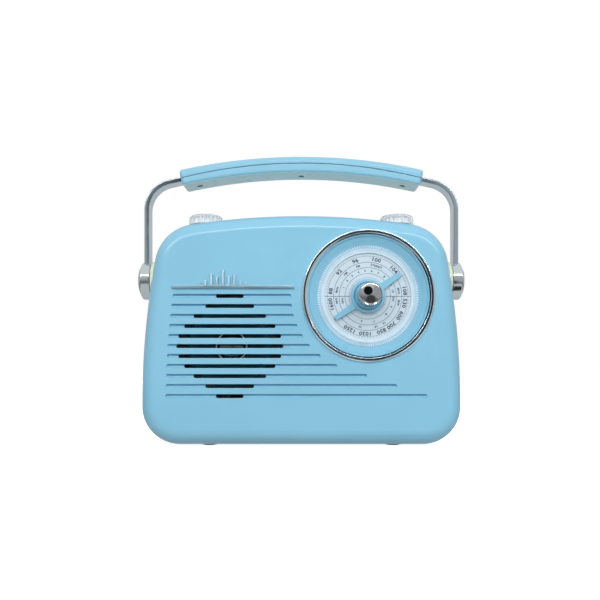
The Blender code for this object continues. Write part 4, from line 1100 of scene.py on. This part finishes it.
def badge_outline(inset):
    """The bar with the wave's strokes standing on it, drawn in by inset."""
    low = BADGE_LOW + inset
    high = BADGE_LOW + BADGE_BAR - inset
    pitch = (WAVE_RIGHT - WAVE_LEFT) / WAVE_STROKES
    outline = arc((BADGE_RIGHT - 0.8, low + 0.8 - inset), 0.8 - inset, -90, 0, 4)
    outline += arc((BADGE_RIGHT - 0.8, high - 0.8 + inset), 0.8 - inset, 0, 90, 4)
    for stroke in reversed(range(WAVE_STROKES)):
        middle = WAVE_LEFT + pitch * (stroke + 0.5)
        across = (stroke + 0.5) / WAVE_STROKES
        rise = WAVE_RISE * math.sin(math.pi * across) * (1.0 if stroke % 2 == 0 else WAVE_SHORT)
        half = 0.26 * pitch - inset
        top = BADGE_LOW + BADGE_BAR + rise - inset
        outline.append((middle + half, high))
        outline += arc((middle + half - 0.45, top - 0.45), 0.45, 0, 90, 3)
        outline += arc((middle - half + 0.45, top - 0.45), 0.45, 90, 180, 3)
        outline.append((middle - half, high))
    outline += arc((BADGE_LEFT + 0.8, high - 0.8 + inset), 0.8 - inset, 90, 180, 4)
    outline += arc((BADGE_LEFT + 0.8, low + 0.8 - inset), 0.8 - inset, 180, 270, 4)
    return outline


def make_badge():
    layers = ((-GAP, 0.0), (BADGE_FRONT + 0.4, 0.0), (BADGE_FRONT + 0.12, 0.1), (BADGE_FRONT, 0.34))
    mesh = lofted("badge_fine", stepped(badge_outline, layers), 35)
    new_piece("badge_fine", mesh, "badge", "case", ["badge_bar"])


def make_speaker():
    centre = (SPEAKER_X, 0, SPEAKER_HEIGHT)
    cone = [(31.2, 4.5), (31.2, 3.9)]
    for i in range(13):
        share = i / 12
        cone.append((31.0 - 5.0 * share, 4.2 - 1.1 * math.sin(math.pi * share)))
    for i in range(1, 12):
        share = i / 11
        ridge = 0.25 * math.sin(share * 7 * math.pi)
        cone.append((26.0 - 14.4 * share, 4.2 + 10.9 * share**1.15 + ridge))
    cone += [(9.6, 15.4), (9.6, 21.6), (10.3, 21.6), (10.3, 16.4), (12.0, 16.2), (26.2, 5.6), (28.4, 4.3)]
    turned_piece(
        "speaker_cone_fine", cone, centre, INWARDS, 128,
        "cone", "case", ["speaker_cone"], sharp=50,
    )
    dome = [(0, 9.4)]
    for i in range(1, 11):
        turn = math.radians(9 * i)
        dome.append((11.0 * math.sin(turn), 14.6 - 5.2 * math.cos(turn)))
    dome.append((0, 14.6))
    turned_piece(
        "dust_cap_fine", dome, centre, INWARDS, 96, "cap_gloss", "case", ["speaker_dust_cap"]
    )
    # A pale ring at the foot of the dust cap, painted in as the shine round its rim.
    rim_glint = [(10.9, 14.2), (11.2, 13.75), (11.6, 13.6), (11.95, 13.8), (12.1, 14.3), (11.5, 14.7)]
    turned_piece("dust_cap_painted_glint", rim_glint, centre, INWARDS, 96, "collar", "case", [])
    rim = [(31.6, 2.8), (38.3, 2.8), (38.5, 3.1), (38.5, 4.4), (33.4, 4.4), (31.6, 4.0)]
    turned_piece("basket_rim", rim, centre, INWARDS, 96, "black", "case", [])


(TOP_KNOB_LEFT, _, TOP_KNOB_STEM), (TOP_KNOB_RIGHT, _, TOP_KNOB_HIGH) = corners_of("volume_knob")
TOP_KNOB_RADIUS = (TOP_KNOB_RIGHT - TOP_KNOB_LEFT) / 2
TOP_KNOB_SKIRT = 170.4
TOP_KNOB_FLUTES = 24
(_, _, COLLAR_LOW), (_, _, COLLAR_HIGH) = corners_of("volume_collar")


def make_top_knob(name, side):
    """A fluted knob with a bevelled crown and a shallow ring on top, on its pale collar."""
    x = side * KNOB_X

    def fluted(turn, radius, distance):
        if radius < 9.5 or distance < 17.0 or distance > TOP_KNOB_HIGH - TOP_KNOB_STEM - 0.6:
            return radius
        return radius - 0.75 * (0.5 - 0.5 * math.cos(turn * TOP_KNOB_FLUTES)) ** 1.6

    low = TOP_KNOB_SKIRT - TOP_KNOB_STEM
    high = TOP_KNOB_HIGH - TOP_KNOB_STEM
    profile = [(0, 0), (3.0, 0), (3.0, low), (12.5, low), (TOP_KNOB_RADIUS - 0.15, low + 0.1)]
    profile += [(TOP_KNOB_RADIUS, low + 0.5), (TOP_KNOB_RADIUS, high - 2.2), (12.9, high - 1.3)]
    profile += [(12.4, high - 0.62), (11.8, high - 0.18), (11.2, high), (9.4, high), (9.1, high - 0.3)]
    profile += [(8.6, high - 0.35), (8.3, high - 0.2), (0, high - 0.2)]
    start = (x, MIDDLE_DEPTH, TOP_KNOB_STEM)
    turned_piece(
        f"{name}_knob_fine", profile, start, UPWARDS, TOP_KNOB_FLUTES * 10,
        "knob_clear", name, [f"{name}_knob"], wobble=fluted, sharp=38,
    )
    low = (x - 0.45, MIDDLE_DEPTH - 8.0, TOP_KNOB_HIGH - 0.3)
    high = (x + 0.45, MIDDLE_DEPTH - 4.0, TOP_KNOB_HIGH - 0.1)
    mesh = lofted(f"{name}_mark", block_rings(low, high))
    new_piece(f"{name}_mark", mesh, "print_dark", name, [])
    rise = COLLAR_HIGH - COLLAR_LOW
    collar = [(3.3, 0), (10.4, 0), (10.5, 0.1), (10.5, rise - 0.5), (10.4, rise - 0.2)]
    collar += [(10.2, rise), (3.3, rise)]
    start = (x, MIDDLE_DEPTH, COLLAR_LOW)
    turned_piece(
        f"{name}_collar_fine", collar, start, UPWARDS, 96,
        "collar", "case", [f"{name}_collar"],
    )


# --- Handle ------------------------------------------------------------------------------------

GRIP_TOP = corners_of("grip_upper")[1][2]
GRIP_RADIUS = 440.0
GRIP_THICKNESS = 13.2
GRIP_HALF_LENGTH = 96.0
GRIP_HALF_DEPTH = 12.25
GRIP_SEAM_DROP = 6.2
GRIP_SEAM_END_DROP = 7.4
GRIP_CENTRE_HEIGHT = GRIP_TOP - GRIP_RADIUS
GRIP_END_TURN = math.asin(GRIP_HALF_LENGTH / GRIP_RADIUS)
GRIP_SCREW_X = 80.5
GRIP_END_REACH = 3.4
# Faces under the grip that look down more than this take a pale painted bounce light, standing in for light
# thrown up onto the grip's underside.
BOUNCE_PAINT_SLOPE = -0.75
ARM_INNER_X = 119.9
ARM_THICKNESS = 4.0
ARM_WIDTH = 12.4
ARM_BEND_RADIUS = 22.0
ARM_RISE_IN_GRIP = 0.2
ARM_END_X = 74.0
ARM_EYE_RADIUS = 12.7
PIVOT_BORE_RADIUS = 3.3
GRIP_HOLE_RADIUS = 2.3
GRIP_HOLE_START = GRIP_RADIUS - GRIP_THICKNESS - 3
(CAP_INNER_X, _, CAP_LOW), (CAP_OUTER_X, _, CAP_HIGH) = corners_of("pivot_cap_right")
CAP_RADIUS = (CAP_HIGH - CAP_LOW) / 2
CAP_WALL = 1.5
CAP_RIM_X = 124.8
CAP_FLOOR_X = 124.2


def grip_point(turn, radius, depth):
    return (radius * math.sin(turn), depth, GRIP_CENTRE_HEIGHT + radius * math.cos(turn))


def seam_radius(turn):
    sink = (GRIP_SEAM_END_DROP - GRIP_SEAM_DROP) * (turn / GRIP_END_TURN) ** 2
    return GRIP_RADIUS - GRIP_SEAM_DROP - sink


def crown_section(turn):
    wide = GRIP_HALF_DEPTH
    outer = GRIP_RADIUS
    seam = seam_radius(turn) + 0.12
    half = [(wide - 0.4, seam), (wide - 0.08, seam + 0.2), (wide, seam + 0.55)]
    half += arc((wide - 4.6, outer - 4.7), 4.6, 2, 84, 12)
    half.append((wide - 8.0, outer - 0.03))
    return half + [(0, outer)] + [(-depth, radius) for depth, radius in reversed(half)]


def belly_section(turn):
    wide = GRIP_HALF_DEPTH
    inner = GRIP_RADIUS - GRIP_THICKNESS
    seam = seam_radius(turn) - 0.12
    half = [(wide - 0.5, seam), (wide - 0.18, seam - 0.2), (wide - 0.1, seam - 0.55)]
    half += arc((wide - 2.7, inner + 2.6), 2.6, 0, -86, 10)
    return half + [(-depth, radius) for depth, radius in reversed(half)]


def grip_sweep(name, section_at, steps):
    """A section swept round the grip's arc, drawn in at both ends to round them."""
    middle = GRIP_RADIUS - GRIP_THICKNESS / 2
    ends = []
    for i in range(9):
        turn = math.radians(90 * i / 8)
        along = GRIP_END_REACH * (1 - math.cos(turn))
        ends.append((-GRIP_END_TURN + along / GRIP_RADIUS, GRIP_END_REACH * (1 - math.sin(turn))))
    body = [(-GRIP_END_TURN + 2 * GRIP_END_TURN * i / steps, 0.0) for i in range(2, steps - 1)]
    rings = []
    for turn, inset in ends + body + [(-turn, inset) for turn, inset in reversed(ends)]:
        ring = []
        for depth, radius in section_at(turn):
            shrink = 1 - inset / GRIP_HALF_DEPTH
            beyond = radius - middle
            lowered = math.copysign(min(abs(beyond), GRIP_THICKNESS / 2 - inset), beyond)
            ring.append(grip_point(turn, middle + lowered, MIDDLE_DEPTH + depth * shrink))
        rings.append(ring)
    return lofted(name, rings, 34)


def grip_screw_turns():
    turn = math.asin(GRIP_SCREW_X / (GRIP_RADIUS - GRIP_THICKNESS))
    return {"left": -turn, "centre": 0.0, "right": turn}


def arm_path(side, steps=24):
    upright_x = ARM_INNER_X + ARM_THICKNESS / 2
    slope = GRIP_END_TURN
    middle = GRIP_RADIUS - GRIP_THICKNESS / 2 + ARM_RISE_IN_GRIP
    end_x, _, end_height = grip_point(slope, middle, 0)
    corner_height = end_height - (upright_x - end_x) * math.tan(slope)
    run = ARM_BEND_RADIUS * math.tan((math.pi / 2 - slope) / 2)
    centre = (upright_x - ARM_BEND_RADIUS, corner_height - run)
    bend = arc(centre, ARM_BEND_RADIUS, 0, 90 - math.degrees(slope), steps)
    tip = (ARM_END_X, end_height + (end_x - ARM_END_X) * math.tan(slope))
    path = [(upright_x, PIVOT_HEIGHT - 7.0), (upright_x, PIVOT_HEIGHT + 22)] + bend + [tip]
    return [(side * x, height) for x, height in path]


def swept(name, path, section):
    rings = []
    for i, (x, height) in enumerate(path):
        before = Vector(path[max(i - 1, 0)])
        after = Vector(path[min(i + 1, len(path) - 1)])
        here = Vector((x, height))
        first = (here - before).normalized() if i else (after - here).normalized()
        last = (after - here).normalized() if i < len(path) - 1 else first
        along = (first + last).normalized()
        out = Vector((along.y, -along.x))
        rings.append([(x + out.x * o, MIDDLE_DEPTH + d, height + out.y * o) for o, d in section])
    return lofted(name, rings)


def make_grip():
    pieces = {
        "grip_upper": grip_sweep("grip_upper_fine", crown_section, 40),
        "grip_lower": grip_sweep("grip_lower_fine", belly_section, 40),
    }
    for node, mesh in pieces.items():
        tools = []
        for turn in grip_screw_turns().values():
            start = grip_point(turn, GRIP_HOLE_START, MIDDLE_DEPTH)
            up = (math.sin(turn), 0, math.cos(turn))
            tools.append(pole_guide("grip_hole", GRIP_HOLE_RADIUS, start, up, 7.8, 40))
        for side in (-1, 1):
            path = arm_path(side)[-2:]
            half = ARM_THICKNESS / 2 + 0.15
            broad = ARM_WIDTH / 2 + 0.15
            section = [(-half, -broad), (half, -broad), (half, broad), (-half, broad)]
            tools.append(guide("arm_pocket", swept("arm_pocket", path, section)))
        mesh = settle(combine(mesh, tools), 34)
        # The grip takes its blue with the painted sheen.
        new_piece(f"{node}_fine", mesh, "grip_blue_with_painted_sheen", "handle", [node], weighted=True)
        if node == "grip_lower":
            # The grip's downward faces take the painted bounce light.
            mesh.materials.append(MATERIALS["grip_painted_bounce_light"])
            for face in mesh.polygons:
                face.material_index = int(face.normal.z < BOUNCE_PAINT_SLOPE)


def cross_recess(mesh, place, direction, reach, width, depth):
    """Cut a cross into a screw's head; place is in case coordinates, at the head's crown."""
    bars = []
    for wide, high in ((reach, width), (width, reach)):
        outline = ((-wide, -high), (wide, -high), (wide, high), (-wide, high))
        bars.append(bar_guide("recess", outline, place, direction, -0.5, depth))
    return settle(combine(mesh, bars))


def make_grip_screws():
    """Round-head screws deep in their holes under the grip, each with a cross recess."""
    for place, turn in grip_screw_turns().items():
        start = grip_point(turn, GRIP_HOLE_START, MIDDLE_DEPTH)
        up = Vector((math.sin(turn), 0, math.cos(turn)))
        profile = [(0, 3.4), (1.3, 3.45), (1.8, 3.65), (2.0, 3.95), (2.0, 4.5), (1.4, 4.5)]
        profile += [(1.4, 13.0), (0, 13.0)]
        mesh = turned(f"grip_screw_{place}_fine", profile, start, tuple(up), 48)
        mesh = cross_recess(mesh, Vector(start) + up * 3.0, up, 1.25, 0.34, 1.2)
        name = f"grip_screw_{place}"
        new_piece(f"{name}_fine", mesh, "screw_dark", "handle", [name])


def make_arm(side, name):
    """A bright arm: a flat bar with softened edges that ends in a round eye inside the cap."""
    half = ARM_THICKNESS / 2
    wide = ARM_WIDTH / 2
    corner = []
    for centre, start in (
        ((half - 1.1, wide - 1.1), 0),
        ((-half + 0.5, wide - 0.5), 90),
        ((-half + 0.5, -wide + 0.5), 180),
        ((half - 1.1, -wide + 1.1), 270),
    ):
        radius = 1.1 if centre[0] > 0 else 0.5
        corner += arc(centre, radius, start, start + 90, 6)
    section = [(outwards * side, depth) for outwards, depth in corner]
    bar = swept(f"handle_arm_{name}_fine", arm_path(side), section)
    outwards = (side, 0, 0)
    start = (side * (ARM_INNER_X + 0.1), MIDDLE_DEPTH, PIVOT_HEIGHT)
    eye = pole_guide("arm_eye", ARM_EYE_RADIUS, start, outwards, ARM_THICKNESS - 0.2, 96)
    mesh = combine(bar, [eye], "UNION")
    below = (side * (ARM_INNER_X - 2), MIDDLE_DEPTH, PIVOT_HEIGHT)
    mesh = settle(combine(mesh, [pole_guide("arm_bore", PIVOT_BORE_RADIUS, below, outwards, 12, 48)]))
    new_piece(
        f"handle_arm_{name}_fine", mesh, "arm", "handle", [f"handle_arm_{name}"], weighted=True
    )


def make_cap(side, name):
    """A turned cup over the arm's eye, with a notched rim and a stepped, domed crown."""
    inside = CAP_RADIUS - CAP_WALL
    outer = CAP_OUTER_X
    profile = [(inside + 0.2, CAP_INNER_X), (CAP_RADIUS - 0.3, CAP_INNER_X)]
    profile += [(CAP_RADIUS, CAP_INNER_X + 0.3), (CAP_RADIUS, CAP_RIM_X - 0.3)]
    profile += [(CAP_RADIUS - 0.1, CAP_RIM_X + 0.2), (CAP_RADIUS - 0.45, CAP_RIM_X + 0.7)]
    profile += [(CAP_RADIUS - 1.0, CAP_RIM_X + 1.1), (CAP_RADIUS - 2.0, CAP_RIM_X + 1.5)]
    profile += [(CAP_RADIUS - 3.0, CAP_RIM_X + 1.7), (CAP_RADIUS - 3.4, CAP_RIM_X + 2.1)]
    profile += [(CAP_RADIUS - 4.4, outer - 0.8), (7.6, outer - 0.3), (4.0, outer - 0.06), (0, outer)]
    profile += [(0, CAP_FLOOR_X + 2.6), (5.2, CAP_FLOOR_X + 2.6), (5.2, CAP_FLOOR_X)]
    profile += [(inside, CAP_FLOOR_X), (inside, CAP_INNER_X + 0.2)]
    start = (0, MIDDLE_DEPTH, PIVOT_HEIGHT)
    mesh = turned(f"pivot_cap_{name}_fine", profile, start, (side, 0, 0), 160)
    half = ARM_WIDTH / 2 + 0.2
    near, far = sorted((side * (CAP_INNER_X - 1), side * (ARM_INNER_X + ARM_THICKNESS + 0.12)))
    low = (near, MIDDLE_DEPTH - half, PIVOT_HEIGHT + 8)
    high = (far, MIDDLE_DEPTH + half, PIVOT_HEIGHT + 20)
    mesh = settle(combine(mesh, [block_guide("cap_notch", low, high)]))
    new_piece(f"pivot_cap_{name}_fine", mesh, "chrome", "handle", [f"pivot_cap_{name}"])


def make_boss(side, name):
    """The cream boss and the small spacer that stands on it inside the cap."""
    low = BOSS_LOW[0]
    spacer = BOSS_HIGH[0]
    high = CAP_INNER_X - 0.4
    profile = [(PIVOT_BORE_RADIUS, low), (BOSS_RADIUS, low), (BOSS_RADIUS, high - 0.8)]
    profile += [(BOSS_RADIUS - 0.15, high - 0.35), (BOSS_RADIUS - 0.45, high - 0.08)]
    profile += [(BOSS_RADIUS - 0.8, high), (7.0, high), (7.0, spacer)]
    profile.append((PIVOT_BORE_RADIUS, spacer))
    node = f"handle_boss_{name}"
    start = (0, MIDDLE_DEPTH, PIVOT_HEIGHT)
    turned_piece(
        f"{node}_fine", profile, start, (side, 0, 0), 128, "cream", "case", [node]
    )


def make_handle():
    make_grip()
    make_grip_screws()
    for side, name in ((-1, "left"), (1, "right")):
        make_arm(side, name)
        make_cap(side, name)
        make_boss(side, name)


# --- Back, underside and antenna ---------------------------------------------------------------


def make_battery_door():
    """The door, with softened edges, a finger notch and grip ribs."""
    (_, near, bottom), (half, far, top) = corners_of("battery_door")

    def outline(inset):
        left, right = -half + inset, half - inset
        radius = 1.6
        below, above = bottom + inset + radius, top - inset - radius
        ring = []
        for x, height, start in (
            (right - radius, below, -90),
            (right - radius, above, 0),
            (left + radius, above, 90),
            (left + radius, below, 180),
        ):
            ring += arc((x, height), radius, start, start + 90, 5)
        return ring

    layers = ((near, 0.0), (far - 0.35, 0.0), (far - 0.1, 0.1), (far, 0.35))
    door = lofted("battery_door_fine", stepped(outline, layers))
    notch = arc((7.4, top - 5.2), 1.6, -90, 90, 8) + arc((-7.4, top - 5.2), 1.6, 90, 270, 8)
    tools = [guide("notch", lofted("notch", layered(notch, (far - 0.9, far + 2))))]
    bm = bmesh.new()
    for i in range(9):
        height = bottom + 6.0 + 2.2 * i
        rib = arc((50.0, height), 0.35, -90, 90, 5) + arc((-50.0, height), 0.35, 90, 270, 5)
        loft_into(bm, layered(rib, (far - 0.45, far + 2)))
    tools.append(guide("ribs", mesh_from(bm, "ribs")))
    mesh = settle(combine(door, tools))
    new_piece("battery_door_fine", mesh, "blue", "door", ["battery_door"], weighted=True)


def make_cover_screws():
    profile = [(0, -0.2), (1.8, -0.22), (2.8, -0.34), (3.3, -0.56), (3.6, -0.9), (1.5, -0.9)]
    profile += [(1.5, -10), (0, -10)]
    for place in COVER_SCREWS:
        name = f"cover_screw_{place}"
        x, _, height = centre_of(name)
        mesh = turned(f"{name}_fine", profile, (x, CASE_DEPTH, height), INWARDS, 64)
        mesh = cross_recess(mesh, (x, CASE_DEPTH + 0.1, height), OUTWARDS, 1.9, 0.42, 1.3)
        new_piece(f"{name}_fine", mesh, "steel", "case", [name])


def make_feet():
    for name in ("foot_front_left", "foot_front_right", "foot_rear_left", "foot_rear_right"):
        x, depth, _ = centre_of(name)
        low = corners_of(name)[0][2]
        profile = [(0, 0.05), (4.2, 0.05), (4.4, 0), (5.1, 0), (5.5, 0.08), (5.8, 0.28), (6.0, 0.6)]
        profile += [(6.0, 0.9), (0, 0.9)]
        turned_piece(
            f"{name}_fine", profile, (x, depth, low), UPWARDS, 64, "rubber", "case", [name]
        )


def make_jacks():
    inner = CASE_DEPTH - WALL
    for node, radius in (("headphone_jack", 3.0), ("power_jack", 4.0)):
        x, _, height = centre_of(node)
        bore = radius - 1.2
        profile = [(bore + 0.2, 1.6), (radius - 0.2, 1.6), (radius, 1.4), (radius, -GAP)]
        profile += [(radius + 2.2, -GAP), (radius + 2.2, -12), (0, -12), (0, -10), (bore, -10), (bore, 1.4)]
        turned_piece(
            f"{node}_fine", profile, (x, inner, height), INWARDS, 64,
            "black", "case", [node],
        )


def make_antenna():
    """Fine tubes with rolled lips and a domed tip, folded along the step."""
    antenna_x, antenna_depth, _ = centre_of("antenna_swivel")
    antenna_height = centre_of("antenna_tip_rod")[2]
    inwards = (-1, 0, 0)
    neck = (antenna_x, antenna_depth, antenna_height)
    outer_end = antenna_x - corners_of("antenna_outer_tube")[0][0]
    middle_end = antenna_x - corners_of("antenna_middle_tube")[0][0]
    tip_end = antenna_x - corners_of("antenna_tip_rod")[0][0]
    tube = [(0, 6.0), (2.9, 6.0), (3.3, 6.3), (3.4, 6.8), (3.4, outer_end - 0.9), (3.3, outer_end - 0.3)]
    tube += [(3.05, outer_end), (2.9, outer_end - 0.2), (2.9, 10.0), (0, 10.0)]
    body = turned("antenna_outer_fine", tube, neck, inwards, 64)
    low = (antenna_x - 8, antenna_depth - 1.7, antenna_height - 2.3)
    high = (antenna_x, antenna_depth + 1.7, antenna_height + 2.3)
    eye = pole_guide("eye", 2.75, (antenna_x, antenna_depth - 1.7, antenna_height), INWARDS, 3.4, 48)
    mesh = combine(body, [block_guide("neck", low, high), eye], "UNION")
    bore = pole_guide("eye_bore", 1.5, (antenna_x, antenna_depth - 5, antenna_height), INWARDS, 10, 32)
    mesh = settle(combine(mesh, [bore]))
    new_piece("antenna_outer_fine", mesh, "chrome", "antenna_outer", ["antenna_outer_tube"])
    tube = [(0, 12), (2.6, 12), (2.6, middle_end - 0.6), (2.45, middle_end - 0.1), (2.25, middle_end)]
    tube += [(2.0, middle_end - 0.2), (2.0, 14), (0, 14)]
    turned_piece(
        "antenna_middle_fine", tube, neck, inwards, 64,
        "chrome", "antenna_middle", ["antenna_middle_tube"],
    )
    tip = [(0, 16), (1.7, 16), (1.7, tip_end - 5.0), (2.7, tip_end - 4.9), (3.1, tip_end - 4.5)]
    tip += [(3.2, tip_end - 3.9), (3.2, tip_end - 1.6), (3.0, tip_end - 0.9), (2.5, tip_end - 0.35)]
    tip += [(1.5, tip_end - 0.06), (0, tip_end)]
    turned_piece(
        "antenna_tip_fine", tip, neck, inwards, 64, "chrome", "antenna_tip", ["antenna_tip_rod"]
    )


SLOT_MATERIAL = {
    "blue_plastic": "blue",
    "cream_plastic": "cream",
    "clear_plastic": "knob_clear",
    "dial_print": "print_plate",
    "chrome": "chrome",
    "steel": "steel",
    "black_plastic": "black",
    "rubber": "rubber",
    "paper_cone": "cone",
    "board": "board",
    "ferrite": "ferrite",
    "copper": "copper",
    "battery_wrap": "sleeve",
}


def dress_nodes():
    """Give every CAD node the finish of its slot; the replaced ones are hidden anyway."""
    for part in frame["record"]["subparts"]:
        node = frame["nodes"][part["node"]]
        finish = "magnet" if part["node"] == "speaker_magnet" else SLOT_MATERIAL[part["material_slot"]]
        for slot in node.material_slots:
            slot.material = MATERIALS[finish]


make_stage()
make_front_cabinet()
make_back_cover()
make_dial_ring()
make_dish()
make_scale_ring()
make_plate()
make_print()
make_pointer()
make_tuning_knob()
make_badge()
make_speaker()
make_top_knob("volume", 1)
make_top_knob("band", -1)
make_handle()
make_battery_door()
make_cover_screws()
make_feet()
make_jacks()
make_antenna()
dress_nodes()
